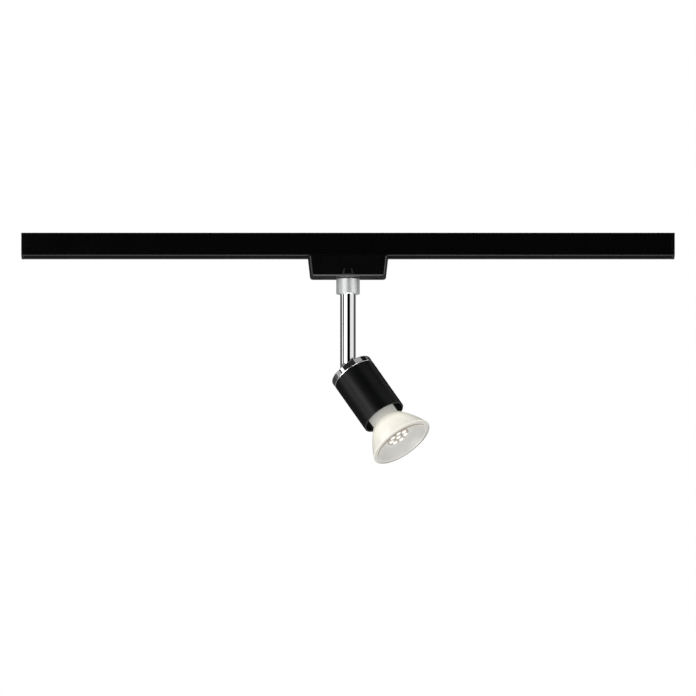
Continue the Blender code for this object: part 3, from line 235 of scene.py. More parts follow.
class LampSizes(bpy.types.PropertyGroup):
    """Sizes of the reflector lamp."""

    flare: length("Flare", "Length of the flared part", 0.0232)
    bow: share("Bow", "How much the flare bows outwards", 0.394)
    wall: length("Wall", "Thickness of the shell and base", 0.0013)
    rim: length("Rim", "Width of the rim round the front", 0.0030)
    rim_depth: length("Rim depth", "Depth of the rim's lip", 0.0015)
    dish_wall: length("Dish wall", "Thickness of the dish", 0.0008)
    dish_drop: length("Dish drop", "How far the dish's middle lies behind its brim", 0.0063)
    lens: length("Lens", "Diameter of each lens", 0.0040)
    lens_rise: length("Lens rise", "How far a lens stands out of its plate", 0.0014)
    lens_ring: length("Lens ring", "Radius of the ring of lenses", 0.0064)
    lens_count: IntProperty(name="Lens count", description="Lenses in the ring", default=7, min=3)


class FinishColours(bpy.types.PropertyGroup):
    """Colours of the finishes."""

    rail: paint("Rail", "Black of the coated extrusion", (0.0016, 0.0016, 0.0017))
    adapter: paint("Adapter", "Black of the moulded adapter", (0.0026, 0.0026, 0.0027))
    sleeve: paint("Sleeve", "Black of the satin sleeve", (0.0016, 0.0018, 0.0022))
    chrome: paint("Chrome", "Tint of the polished stem and cap", (0.93, 0.93, 0.94))
    collar: paint("Collar", "Tint of the satin collar", (0.90, 0.91, 0.91))
    lamp: paint("Lamp", "White of the lamp's frosted body", (0.80, 0.785, 0.725))
    glow: paint("Glow", "Tint of the light through the frosted body", (1.0, 0.955, 0.82))
    front_glow: paint("Front glow", "Tint of the light over the lamp's front", (1.0, 0.985, 0.925))
    dish: paint("Dish", "Grey of the lamp's front", (0.40, 0.395, 0.37))
    brim: paint("Brim", "Brown of the front's outer edge", (0.20, 0.15, 0.11))
    ceramic: paint("Ceramic", "White of the lampholder", (0.80, 0.78, 0.73))
    nylon: paint("Nylon", "White of the moulded insulators", (0.75, 0.74, 0.70))
    liner: paint("Liner", "Grey of the rail's liners", (0.045, 0.045, 0.048))


class StageSettings(bpy.types.PropertyGroup):
    """The camera, the lamps and the floor."""

    view_width: length("View width", "Width of the view at the object", 0.53265)
    lens: FloatProperty(name="Lens", description="Focal length of the camera", default=1500.0, unit="CAMERA")
    below: angle("Below", "How far the camera looks up at the object", 5.0)
    aim: FloatProperty(name="Aim", description="Height that it looks at", default=-0.0871, unit="LENGTH")
    floor: FloatProperty(name="Floor", description="Height of the floor", default=-2.4, unit="LENGTH")
    floor_radius: length("Floor radius", "Radius of the floor", 14.0)
    fill: share("Fill", "Strength of the soft light from all round", 0.45)
    key: share("Key", "Strength of the soft box on the left", 2.2, highest=4.0)
    side: share("Side", "Strength of the soft box on the right", 0.84, highest=4.0)
    lower_side: share("Lower side", "Strength of the card below the right soft box", 4.2, highest=8.0)
    under: share("Under", "Strength of the card below the object", 6.6, highest=8.0)
    rib: share("Rib cards", "Strength of the cards that light the sides of the ribs", 5.0, highest=8.0)
    reach: length("Reach", "Distance of the soft boxes and far cards from the pivot", 4.0)


SETTINGS = {
    "spot_rail": RailSizes,
    "spot_adapter": AdapterSizes,
    "spot_swivel": SwivelSizes,
    "spot_head": HeadSizes,
    "spot_lamp": LampSizes,
    "spot_colours": FinishColours,
    "spot_stage": StageSettings,
}


# Node trees


class Socket:
    """A node's output. Sums and products of it add Math nodes to its tree."""

    def __init__(self, graph, output):
        self.graph = graph
        self.output = output

    def __getitem__(self, name):
        return Socket(self.graph, self.output.node.outputs[name])

    def __add__(self, other):
        return self.graph.math("ADD", self, other)

    def __sub__(self, other):
        return self.graph.math("SUBTRACT", self, other)

    def __rsub__(self, other):
        return self.graph.math("SUBTRACT", other, self)

    def __mul__(self, other):
        return self.graph.math("MULTIPLY", self, other)

    def __truediv__(self, other):
        return self.graph.math("DIVIDE", self, other)

    __radd__ = __add__
    __rmul__ = __mul__


class Graph:
    """A node tree that is filled in by calls."""

    def __init__(self, tree):
        self.tree = tree

    def node(self, kind, settings=None, values=None, output=0):
        """Adds a node: its settings first, then the value or link of each named or numbered socket."""
        made = self.tree.nodes.new(kind)
        for name, value in (settings or {}).items():
            if name == "stops":
                self.set_stops(made.color_ramp, value)
            else:
                setattr(made, name, value)
        for name, value in (values or {}).items():
            for each in value if isinstance(value, list) else [value]:
                self.feed(made.inputs[name], each)
        return Socket(self, made.outputs[output]) if made.outputs else None

    def feed(self, socket, value):
        """Links an input to another socket, or sets its own value."""
        if isinstance(value, Socket):
            self.tree.links.new(value.output, socket)
        elif socket.type == "RGBA":
            socket.default_value = (*value[:3], 1.0)
        else:
            socket.default_value = value

    def set_stops(self, ramp, stops):
        """Gives a colour ramp its stops, each a place and a grey level."""
        while len(ramp.elements) < len(stops):
            ramp.elements.new(1.0)
        for element, (place, level) in zip(ramp.elements, stops):
            element.position = place
            element.color = (level, level, level, 1.0)

    def math(self, operation, *terms):
        return self.node("ShaderNodeMath", {"operation": operation}, dict(enumerate(terms)))

    def vector(self, operation, *terms, output=0):
        return self.node("ShaderNodeVectorMath", {"operation": operation}, dict(enumerate(terms)), output)

    def blend(self, mask, first, second, mode="MIX"):
        """Mixes two colours by a mask."""
        settings = {"data_type": "RGBA", "blend_type": mode}
        return self.node("ShaderNodeMix", settings, {0: mask, 6: first, 7: second}, output=2)


def bare_graph(owner):
    """The emptied node tree of a material or a world."""
    owner.use_nodes = True
    owner.node_tree.nodes.clear()
    return Graph(owner.node_tree)


class Finish(Graph):
    """A material round one Principled shader, patterned on Object coordinates."""

    def __init__(self, name, **constants):
        self.material = bpy.data.materials.new(name)
        self.material.use_nodes = True
        super().__init__(self.material.node_tree)
        self.shader = self.tree.nodes["Principled BSDF"]
        self.place = self.node("ShaderNodeTexCoord")["Object"]
        for socket, value in constants.items():
            self.put(socket.replace("_", " "), value)

    def put(self, socket, value):
        self.feed(self.shader.inputs[socket], value)

    def noise(self, scale, detail=3.0, stretch=(1, 1, 1)):
        """Cloudy noise from 0 to 1, with so many clouds to a metre."""
        moved = self.node("ShaderNodeMapping", values={"Vector": self.place, "Scale": stretch})
        values = {"Vector": moved, "Scale": scale, "Detail": detail}
        return self.node("ShaderNodeTexNoise", values=values)

    def rings(self, scale):
        """Fine turned lines, one above the other."""
        settings = {"wave_type": "BANDS", "bands_direction": "Z", "wave_profile": "SIN"}
        values = {"Vector": self.place, "Scale": scale, "Distortion": 0.6, "Detail": 1.0}
        return self.node("ShaderNodeTexWave", settings, values, output=1)

    def ramp(self, value, *stops):
        return self.node("ShaderNodeValToRGB", {"stops": stops}, {"Fac": value})

    def mottle(self, colour, tones, roughness, scale):
        """Varies the colour between two tones, and the roughness from a base by a spread, in soft clouds."""
        clouds = self.noise(scale)
        self.put("Base Color", self.blend(clouds, toned(colour, tones[0]), toned(colour, tones[1])))
        self.put("Roughness", roughness[0] + roughness[1] * clouds)

    def tinted(self, level, tint):
        """A tint at a level that varies."""
        return self.blend(1.0, level, tint, mode="MULTIPLY")

    def raise_bumps(self, height, strength, depth):
        """Feeds the shader's normal from a height pattern."""
        values = {"Height": height, "Strength": strength, "Distance": depth}
        self.put("Normal", self.node("ShaderNodeBump", values=values))

    def raise_grain(self, scale, strength, depth, stretch=(1, 1, 1)):
        self.raise_bumps(self.noise(scale, detail=2, stretch=stretch), strength, depth)

    def from_pivot(self):
        return self.vector("SUBTRACT", self.place, PIVOT)

    def along_lamp(self):
        """Distance from the tilt pivot along the lamp's axis."""
        return self.vector("DOT_PRODUCT", self.from_pivot(), LAMP_AXIS, output=1)

    def across_lamp(self):
        """Distance from the lamp's axis."""
        return self.vector("LENGTH", self.vector("CROSS_PRODUCT", self.from_pivot(), LAMP_AXIS), output=1)

    def behind_rim(self):
        """Distance behind the lamp's rim, as a share of the flare's length."""
        return (-LAMP_RIM - self.along_lamp()) / bpy.context.scene.spot_lamp.flare


def toned(colour, level):
    """A colour, so many times as bright."""
    return tuple(part * level for part in colour)


def colours():
    return bpy.context.scene.spot_colours


def coated_extrusion():
    """Black coating on the drawn rail: faint lines along it and a fine matt grain."""
    coat = Finish("coated extrusion", IOR=1.42)
    coat.mottle(colours().rail, tones=(0.7, 1.4), roughness=(0.12, 0.05), scale=45)
    lines = coat.noise(scale=2200, stretch=(0.01, 1, 1))
    grain = coat.noise(scale=5200, detail=2)
    coat.raise_bumps(0.5 * lines + 0.5 * grain, strength=0.08, depth=0.00008)
    return coat.material


def moulded_black():
    """Black moulded plastic with a fine eroded texture, a little glossier in places."""
    coat = Finish("moulded black", IOR=1.38)
    coat.mottle(colours().adapter, tones=(0.75, 1.35), roughness=(0.12, 0.05), scale=70)
    coat.raise_grain(scale=3600, strength=0.10, depth=0.00008)
    return coat.material


def satin_black():
    """Satin black paint on the sleeve, with the faint orange peel of a sprayed coat."""
    coat = Finish("satin black", IOR=1.5)
    coat.mottle(colours().sleeve, tones=(0.8, 1.25), roughness=(0.29, 0.05), scale=55)
    coat.raise_grain(scale=1500, strength=0.05, depth=0.00006)
    return coat.material


def polished_chrome():
    """Bright plating with faint polishing haze."""
    plate = Finish("polished chrome", Metallic=1.0)
    plate.mottle(colours().chrome, tones=(0.98, 1.0), roughness=(0.035, 0.03), scale=130)
    plate.raise_grain(scale=2600, strength=0.01, depth=0.00003)
    return plate.material


def satin_nickel():
    """Brushed plating with fine turned lines."""
    plate = Finish("satin nickel", Metallic=0.5)
    plate.mottle(colours().collar, tones=(0.94, 1.0), roughness=(0.30, 0.05), scale=160)
    plate.raise_bumps(plate.rings(scale=1400), strength=0.05, depth=0.00004)
    return plate.material


def worked_metal(name, colour, roughness):
    """A plain metal with tarnish in clouds and fine scratches."""
    metal = Finish(name, Metallic=1.0)
    metal.mottle(colour, tones=(0.78, 1.0), roughness=(roughness, 0.16), scale=260)
    metal.raise_grain(scale=2400, strength=0.08, depth=0.00005, stretch=(0.15, 1, 1))
    return metal.material


def moulding(name, colour, roughness, grain=2600):
    """A plain moulded or fired body with slight mottling and a fine grain."""
    body = Finish(name, IOR=1.45)
    body.mottle(colour, tones=(0.88, 1.0), roughness=(roughness, 0.12), scale=180)
    body.raise_grain(scale=grain, strength=0.12, depth=0.00008)
    return body.material


def circuit_board():
    """Green solder mask over copper tracks."""
    board = Finish("circuit board", IOR=1.5)
    values = {"Vector": board.place, "Scale": 700}
    cells = board.node("ShaderNodeTexVoronoi", {"distance": "MANHATTAN"}, values)
    tracks = board.ramp(cells, (0.45, 0.0), (0.5, 1.0))
    board.put("Base Color", board.blend(tracks, (0.02, 0.13, 0.05), (0.05, 0.24, 0.09)))
    board.put("Roughness", 0.35 + 0.15 * tracks)
    board.raise_bumps(tracks, strength=0.3, depth=0.00005)
    return board.material


def frosted_shell():
    """Frosted shell, lit from inside: brightest a little past the middle of the flare."""
    body = Finish("frosted shell", Emission_Strength=1.0, Coat_Weight=1.0, Coat_Roughness=0.25, Coat_IOR=1.4)
    body.mottle(colours().lamp, tones=(0.88, 0.93), roughness=(0.36, 0.08), scale=240)
    behind = body.behind_rim()
    glow = body.ramp(behind, (0.0, 0.37), (0.25, 0.46), (0.5, 0.57), (0.68, 0.63), (0.86, 0.40), (1.0, 0.20))
    body.put("Emission Color", body.tinted(glow, colours().glow))
    body.raise_grain(scale=3000, strength=0.04, depth=0.00006)
    return body.material


def lamp_body():
    """The lamp's base: a greyer plastic with a painted glow, a little stronger towards its front."""
    body = Finish("lamp body", IOR=1.45, Emission_Strength=1.0)
    body.mottle(toned(colours().lamp, 0.46), tones=(0.94, 1.0), roughness=(0.40, 0.08), scale=240)
    # Painted light: a glow over the whole base, a little stronger towards its front
    glow = body.ramp(body.behind_rim() * 0.5, (0.48, 0.28), (0.62, 0.27), (0.9, 0.24))
    body.put("Emission Color", body.tinted(glow, colours().front_glow))
    body.raise_grain(scale=3000, strength=0.05, depth=0.00006)
    return body.material


def rim_edge():
    """The lamp's rim: the shell's white outside, a paler front, and painted shade on the front's outer edge on its
    lower side.
    """
    body = Finish("rim edge", IOR=1.45, Emission_Strength=1.0)
    outside = body.ramp(body.behind_rim(), (0.01, 0.0), (0.03, 1.0))
    # Painted shade: the front's outer edge is darkened in colour and glow on the side towards RIM_SHADE_SIDE
    outermost = body.ramp(body.across_lamp() / LAMP_RADIUS, (0.915, 0.0), (0.945, 1.0))
    aside = body.vector("DOT_PRODUCT", body.from_pivot(), RIM_SHADE_SIDE, output=1)
    shaded = body.ramp((aside - RIM_SHADE_SIDE.dot(RIM_MIDDLE)) / LAMP_RADIUS, (0.0, 0.0), (0.4, 1.0))
    painted_shade = outermost * shaded * (1.0 - outside)
    speckle = body.noise(scale=900, detail=2)
    face = body.blend(outside, colours().dish, colours().lamp)
    glow = body.blend(outside, toned(colours().front_glow, 0.40), toned(colours().glow, 0.46))
    body.put("Base Color", body.blend(painted_shade, face, toned(colours().dish, 0.3)))
    body.put("Emission Color", body.blend(painted_shade, glow, toned(colours().front_glow, 0.03)))
    body.put("Roughness", 0.30 + 0.10 * speckle)
    return body.material


def dish_front():
    """The lamp's pale front: faint pressed rings, a painted highlight round its brim and a brown outer edge."""
    body = Finish("dish front", IOR=1.45, Emission_Strength=1.0)
    out = body.across_lamp() / turned_span("reflector_dish", HEAD)[2]
    rings = body.math("SINE", out * DISH_RIPPLE) * 0.5 + 0.5
    # Painted highlight: the glow rises again just inside the brim
    glow = body.ramp(out, (0.42, 0.38), (0.63, 0.33), (0.94, 0.29), (0.98, 0.43))
    edge = body.ramp(out, (0.992, 0.0), (0.996, 1.0))
    face = body.blend(rings, toned(colours().dish, 0.95), colours().dish)
    light = body.tinted(glow, colours().front_glow)
    body.put("Base Color", body.blend(edge, face, colours().brim))
    body.put("Emission Color", body.blend(edge, light, toned(colours().brim, 0.7)))
    body.put("Roughness", 0.30 + 0.08 * rings)
    body.raise_bumps(rings, strength=0.06, depth=0.00006)
    return body.material


def lit_lens():
    """Clear moulded lenses with the lit chips behind them, and the shaded plate between."""
    body = Finish("lit lens", IOR=1.5, Emission_Strength=1.0, Coat_Weight=0.5)
    height = bpy.context.scene.spot_lamp.lens_rise
    front = turned_span("lens_array", HEAD)[0]
    rise = (body.along_lamp() + (front + height)) / height
    lens = body.ramp(rise, (0.1, 0.0), (0.75, 1.0))
    speckle = body.noise(scale=900, detail=2)
    body.put("Base Color", body.blend(lens, toned(colours().dish, 0.7), (0.9, 0.9, 0.87)))
    body.put("Emission Color", body.blend(lens, (0.26, 0.23, 0.19), (0.60, 0.59, 0.56)))
    body.put("Roughness", 0.10 + 0.08 * speckle)
    return body.material


FINISH_OF_SLOT = {
    "rail_black": coated_extrusion,
    "end_cap_black": moulded_black,
    "adapter_black": moulded_black,
    "sleeve_black": satin_black,
    "chrome": polished_chrome,
    "satin_nickel": satin_nickel,
    "lamp_white": lamp_body,
    "dish_grey": dish_front,
    "lens_clear": lit_lens,
    "board_green": circuit_board,
    "zinc_steel": lambda: worked_metal("zinc steel", (0.58, 0.59, 0.60), roughness=0.28),
    "copper": lambda: worked_metal("copper", (0.72, 0.36, 0.20), roughness=0.24),
    "spring_bronze": lambda: worked_metal("spring bronze", (0.66, 0.48, 0.24), roughness=0.24),
    "brass": lambda: worked_metal("brass", (0.73, 0.56, 0.26), roughness=0.22),
    "bare_aluminium": lambda: worked_metal("bare aluminium", (0.70, 0.70, 0.71), roughness=0.34),
    "liner_grey": lambda: moulding("liner plastic", colours().liner, roughness=0.45),
    "nylon_white": lambda: moulding("white nylon", colours().nylon, roughness=0.42),
    "ceramic": lambda: moulding("fired ceramic", colours().ceramic, roughness=0.50, grain=3400),
    "cable_black": lambda: moulding("black rubber", (0.012, 0.012, 0.012), roughness=0.55),
    "wire_brown": lambda: moulding("brown sheath", (0.16, 0.06, 0.03), roughness=0.40),
    "wire_blue": lambda: moulding("blue sheath", (0.03, 0.10, 0.40), roughness=0.40),
}
MADE = {}
STOOD_FOR = set()


def finish_for(node, maker=None):
    """The material of a node's slot, or of another maker, made once."""
    maker = maker or FINISH_OF_SLOT[SLOTS[node]]
    if maker not in MADE:
        MADE[maker] = maker()
    return MADE[maker]


# Meshes


def link_new(name, mesh):
    obj = bpy.data.objects.new(name, mesh)
    bpy.context.scene.collection.objects.link(obj)
    return obj


def mesh_from(name, shape):
    """A mesh from a bmesh, which is freed."""
    mesh = bpy.data.meshes.new(name)
    shape.to_mesh(mesh)
    shape.free()
    return mesh


def solid(name, shape, place):
    """An object from a closed bmesh, its faces outwards, put in its place."""
    bmesh.ops.recalc_face_normals(shape, faces=shape.faces)
    mesh = mesh_from(name, shape)
    mesh.transform(place)
    return link_new(name, mesh)


def spread(start, end, steps):
    """Evenly spaced values from a start to an end."""
    return [start + (end - start) * i / steps for i in range(steps + 1)]


def softened(corners, radius, closed=True):
    """An outline with its corners rounded, by no more than a third of the shorter side next to each."""
    outline = []
    for i, corner in enumerate(corners):
        point = Vector(corner)
        if not closed and i in (0, len(corners) - 1):
            outline.append(point)
            continue
        before = Vector(corners[i - 1]) - point
        after = Vector(corners[(i + 1) % len(corners)]) - point
        reach = min(radius, before.length / 3, after.length / 3)
        start = point + before.normalized() * reach
        end = point + after.normalized() * reach
        for part in spread(0.0, 1.0, CORNER_STEPS):
            outline.append(start.lerp(point, part).lerp(point.lerp(end, part), part))
    return [tuple(point) for point in outline]


def arc(radius, start, end, steps):
    """Points of a circle about the origin."""
    return [(radius * math.cos(turn), radius * math.sin(turn)) for turn in spread(start, end, steps)]


def turned(name, outline, place=UPRIGHT, sides=ROUND):
    """A turned solid from a closed outline of radius and height."""
    shape = bmesh.new()
    rings = []
    for radius, height in outline:
        count = sides if radius > TOUCH else 1
        circle = arc(radius, 0.0, FULL_TURN, count)[:-1]
        rings.append([shape.verts.new((x, y, height)) for x, y in circle])
    for near, far in zip(rings, rings[1:] + rings[:1]):
        for i in range(sides):
            j = i + 1
            loop = [near[i % len(near)], near[j % len(near)], far[j % len(far)], far[i % len(far)]]
            corners = list(dict.fromkeys(loop))
            if len(corners) > 2:
                shape.faces.new(corners)
    return solid(name, shape, place)


def prism(name, outline, low, high, place=UPRIGHT):
    """A solid with one outline, from a low to a high station."""
    shape = bmesh.new()
    ends = [[shape.verts.new((x, y, station)) for x, y in outline] for station in (low, high)]
    for end in ends:
        shape.faces.new(end)
    for i in range(len(outline)):
        shape.faces.new((ends[0][i - 1], ends[0][i], ends[1][i], ends[1][i - 1]))
    return solid(name, shape, place)


def block(name, low, high, place=UPRIGHT):
    outline = [(low[0], low[1]), (high[0], low[1]), (high[0], high[1]), (low[0], high[1])]
    return prism(name, outline, low[2], high[2], place)


def rod(name, radius, low, high, place=UPRIGHT, sides=SMALL):
    return turned(name, [(0, high), (radius, high), (radius, low), (0, low)], place, sides)


def at(x, y, place=UPRIGHT):
    return place @ Matrix.Translation((x, y, 0))


def apply_modifiers(obj):
    """Makes the object's modifiers its plain mesh."""
    graph = bpy.context.evaluated_depsgraph_get()
    mesh = bpy.data.meshes.new_from_object(obj.evaluated_get(graph))
    obj.modifiers.clear()
    obj.data = mesh


def carve(obj, operation, *tools):
    """Cuts away, joins or keeps what the tools share with the object, and removes the tools."""
    for tool in tools:
        step = obj.modifiers.new(operation, "BOOLEAN")
        step.operation = operation
        step.object = tool
        step.solver = "EXACT"
    apply_modifiers(obj)
    for tool in tools:
        bpy.data.objects.remove(tool)
    clean(obj.data)


def clean(mesh):
    """Welds the slivers and drops the spare points that a cut leaves, and splits many-sided faces evenly."""
    shape = bmesh.new()
    shape.from_mesh(mesh)
    bmesh.ops.remove_doubles(shape, verts=shape.verts, dist=WELD)
    bmesh.ops.dissolve_degenerate(shape, edges=shape.edges, dist=WELD)
    bmesh.ops.dissolve_verts(shape, verts=[vert for vert in shape.verts if is_spare(vert)])
    many_sided = [face for face in shape.faces if len(face.verts) > MOST_SIDES]
    bmesh.ops.triangulate(shape, faces=many_sided, ngon_method="BEAUTY")
    shape.to_mesh(mesh)
    shape.free()


def is_spare(vert):
    """Whether a point only splits one nearly straight edge in two."""
    if len(vert.link_edges) != 2:
        return False
    first, second = (edge.other_vert(vert).co - vert.co for edge in vert.link_edges)
    return first.angle(second) > math.pi - SPARE_BEND


def round_over(shape, edges, radius):
    """Rounds some edges of a bmesh."""
    bmesh.ops.bevel(shape, geom=edges, offset=radius, segments=FILLET_STEPS, affect="EDGES", profile=0.5)


def round_edges(obj, width):
    """Rounds every sharp edge of a plain block."""
    step = obj.modifiers.new("edges", "BEVEL")
    step.width = width
    step.segments = CORNER_STEPS
    step.limit_method = "ANGLE"
    apply_modifiers(obj)


def hand_over(obj, body, *nodes, finish=None):
    """Shades a piece, paints it with its nodes' finish and gives it their body, slot and place."""
    obj.data.materials.clear()
    obj.data.materials.append(finish_for(nodes[0], finish))
    for face in obj.data.polygons:
        face.material_index = 0
    obj.data.shade_smooth()
    obj.data.set_sharp_from_angle(angle=SHARP)
    flats = obj.modifiers.new("flats", "WEIGHTED_NORMAL")
    flats.keep_sharp = True
    apply_modifiers(obj)
    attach(obj, body)
    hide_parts(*nodes)
    STOOD_FOR.update(nodes)


# Geometry Nodes


class Tree(Graph):
    """A Geometry Nodes tree with named inputs."""

    def __init__(self, name):
        super().__init__(bpy.data.node_groups.new(name, "GeometryNodeTree"))
        for way in ("INPUT", "OUTPUT"):
            self.tree.interface.new_socket("Geometry", in_out=way, socket_type="NodeSocketGeometry")
        self.source = self.tree.nodes.new("NodeGroupInput")
        [self.material] = self.entries("Finish", kind="NodeSocketMaterial")

    def entries(self, *names, kind="NodeSocketFloat"):
        """Adds named inputs of one kind."""
        for name in names:
            self.tree.interface.new_socket(name, in_out="INPUT", socket_type=kind)
        return [Socket(self, self.source.outputs[name]) for name in names]

    def close(self, geometry):
        """Ends the tree in real, painted geometry."""
        real = self.node("GeometryNodeRealizeInstances", values={"Geometry": geometry})
        painted = self.node("GeometryNodeSetMaterial", values={"Geometry": real, "Material": self.material})
        self.node("NodeGroupOutput", values={0: painted})
        return self.tree

    def xyz(self, x=0.0, y=0.0, z=0.0):
        return self.node("ShaderNodeCombineXYZ", values={"X": x, "Y": y, "Z": z})

    def moved(self, geometry, offset, scale=(1, 1, 1)):
        values = {"Geometry": geometry, "Translation": offset, "Scale": scale}
        return self.node("GeometryNodeTransform", values=values)

    def cylinder(self, diameter, depth):
        values = {"Vertices": SMALL, "Radius": diameter * 0.5, "Depth": depth}
        return self.node("GeometryNodeMeshCylinder", values=values)

    def ball(self, radius, rings):
        values = {"Segments": SMALL, "Rings": rings, "Radius": radius}
        return self.node("GeometryNodeMeshUVSphere", values=values)

    def joined(self, *parts):
        return self.node("GeometryNodeJoinGeometry", values={"Geometry": list(reversed(parts))})

    def copied(self, geometry, points):
        return self.node("GeometryNodeInstanceOnPoints", values={"Points": points, "Instance": geometry})


def grow(name, tree, place, **inputs):
    """The plain mesh that a tree makes with these inputs, put in its place."""
    obj = link_new(name, bpy.data.meshes.new(name))
    step = obj.modifiers.new("grow", "NODES")
    step.node_group = tree
    for item in tree.interface.items_tree:
        if item.in_out == "INPUT" and item.name.lower() in inputs:
            step[item.identifier] = inputs.pop(item.name.lower())
    if inputs:
        raise ValueError(f"{name}: the tree has no input named {sorted(inputs)}")
    apply_modifiers(obj)
    obj.data.transform(place)
    return obj


def slotted_screws_tree():
    """Two slotted pan-head screws, heads up, the first and the step to the second given under their heads."""
    tree = Tree("slotted screws")
    diameter, height, shank, depth, slot = tree.entries("Head", "Height", "Shank", "Depth", "Slot")
    first, step = tree.entries("First", "Step", kind="NodeSocketVector")
    # Shares of the head: its straight side, the dome's drop into it, the dome's width and the groove's length
    side, sunk, narrow, past = 0.6, 0.13, 0.95, 1.2
    rim = tree.moved(tree.cylinder(diameter, height * side), tree.xyz(z=height * (side / 2)))
    ball = tree.ball(diameter * (narrow / 2), SMALL // 3)
    squash = tree.xyz(1.0, 1.0, height * (2 * (1 - side + sunk) / narrow) / diameter)
    dome = tree.moved(ball, tree.xyz(z=height * (side - sunk)), squash)
    inside = height * (side / 3)
    stalk = tree.moved(tree.cylinder(shank, depth + inside), tree.xyz(z=(inside - depth) * 0.5))
    cube = tree.node("GeometryNodeMeshCube", values={"Size": tree.xyz(slot, diameter * past, slot * 2.0)})
    groove = tree.moved(cube, tree.xyz(z=height))
    screw = tree.node(
        "GeometryNodeMeshBoolean",
        {"operation": "DIFFERENCE", "solver": "EXACT"},
        {"Mesh 1": tree.joined(rim, dome, stalk), "Mesh 2": groove, "Self Intersection": True},
    )
    values = {"Count": 2, "Start Location": first, "Offset": step}
    row = tree.node("GeometryNodeMeshLine", {"mode": "OFFSET"}, values)
    return tree.close(tree.copied(screw, row))


def lens_cluster_tree():
    """Domed lenses in a ring and one in the middle, on one plate that faces down."""
    tree = Tree("lens cluster")
    plate_diameter, thickness, lens, rise, ring = tree.entries("Plate", "Thickness", "Lens", "Rise", "Ring")
    [count] = tree.entries("Count", kind="NodeSocketInt")
    sunk = 0.3
    squash = tree.xyz(1.0, 1.0, rise * (2 * (1 - sunk)) / lens)
    dome = tree.moved(tree.ball(lens * 0.5, SMALL // 2), (0, 0, 0), squash)
    circle = tree.node("GeometryNodeMeshCircle", values={"Vertices": count, "Radius": ring})
    middle = tree.node("GeometryNodePoints", values={"Count": 1})
    domes = tree.copied(dome, tree.joined(circle, middle))
    plate = tree.moved(tree.cylinder(plate_diameter, thickness), tree.xyz(z=thickness * 0.5))
    return tree.close(tree.joined(plate, tree.moved(domes, tree.xyz(z=rise * -sunk))))


def bowed_flare_tree():
    """The lamp's flared wall as one surface: its radius follows a bowed curve from neck to rim."""
    tree = Tree("bowed flare")
    neck, rim, depth, bow = tree.entries("Neck", "Rim", "Depth", "Bow")
    values = {"Size X": 1.0, "Size Y": 1.0, "Vertices X": ROUND + 1, "Vertices Y": FLARE_STEPS + 1}
    grid = tree.node("GeometryNodeMeshGrid", values=values)
    flat = tree.node("ShaderNodeSeparateXYZ", values={"Vector": tree.node("GeometryNodeInputPosition")})
    turn = flat["X"] * FULL_TURN
    behind = flat["Y"] + 0.5
    bowed = behind * (1.0 - bow) + behind * behind * bow
    radius = rim - (rim - neck) * bowed
    place = tree.xyz(radius * tree.math("COSINE", turn), radius * tree.math("SINE", turn), behind * depth)
    rolled = tree.node("GeometryNodeSetPosition", values={"Geometry": grid, "Position": place})
    welded = tree.node("GeometryNodeMergeByDistance", values={"Geometry": rolled, "Distance": TOUCH})
    return tree.close(welded)


# Operators


class SPOT_OT_rail(bpy.types.Operator):
    """Make the extruded rail and its end caps"""

    bl_idname = "spotlight.rail"
    bl_label = "Rail"

    def execute(self, context):
        sizes = context.scene.spot_rail
        low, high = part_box("rail_profile")
        half, slot = high[1], sizes.slot / 2
        inner, lip = half - sizes.wall, low[2] + sizes.wall
        right = [(half, 0.0), (half, low[2]), (slot, low[2]), (slot, lip), (inner, lip), (inner, -sizes.web)]
        left = [(-y, z) for y, z in reversed(right)]
        rail = prism("rail", softened(right + left, sizes.edge), low[0], high[0], ALONG_RAIL)
        holes = []
        for _, sign in SIDES:
            place = at(sign * sizes.hole_spacing / 2, 0)
            holes.append(rod("hole", sizes.hole / 2, -sizes.web - MARGIN, MARGIN, place))
        carve(rail, "DIFFERENCE", *holes)
        hand_over(rail, "rail", "rail_profile")
        for label, sign in SIDES:
            self.make_end_cap(label, sign, sizes)
        return {"FINISHED"}

    def make_end_cap(self, label, sign, sizes):
        """A plate over the rail's end with a plug between its walls."""
        node = f"end_cap_{label}"
        low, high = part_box(node)
        inner = low[0] + sizes.end_plate if sign < 0 else high[0] - sizes.end_plate
        plate_x = (low[0], inner) if sign < 0 else (inner, high[0])
        plug_x = (inner - MARGIN, high[0]) if sign < 0 else (low[0], inner + MARGIN)
        corners = [(high[1], high[2]), (high[1], low[2]), (low[1], low[2]), (low[1], high[2])]
        plate = prism(f"end_{label}", softened(corners, sizes.edge), *plate_x, ALONG_RAIL)
        side = high[1] - sizes.wall - GAP
        plug_low = (plug_x[0], -side, low[2] + sizes.wall + GAP)
        plug = block("plug", plug_low, (plug_x[1], side, -sizes.web - GAP))
        round_edges(plate, sizes.end_edge)
        carve(plate, "UNION", plug)
        hand_over(plate, "rail", node)


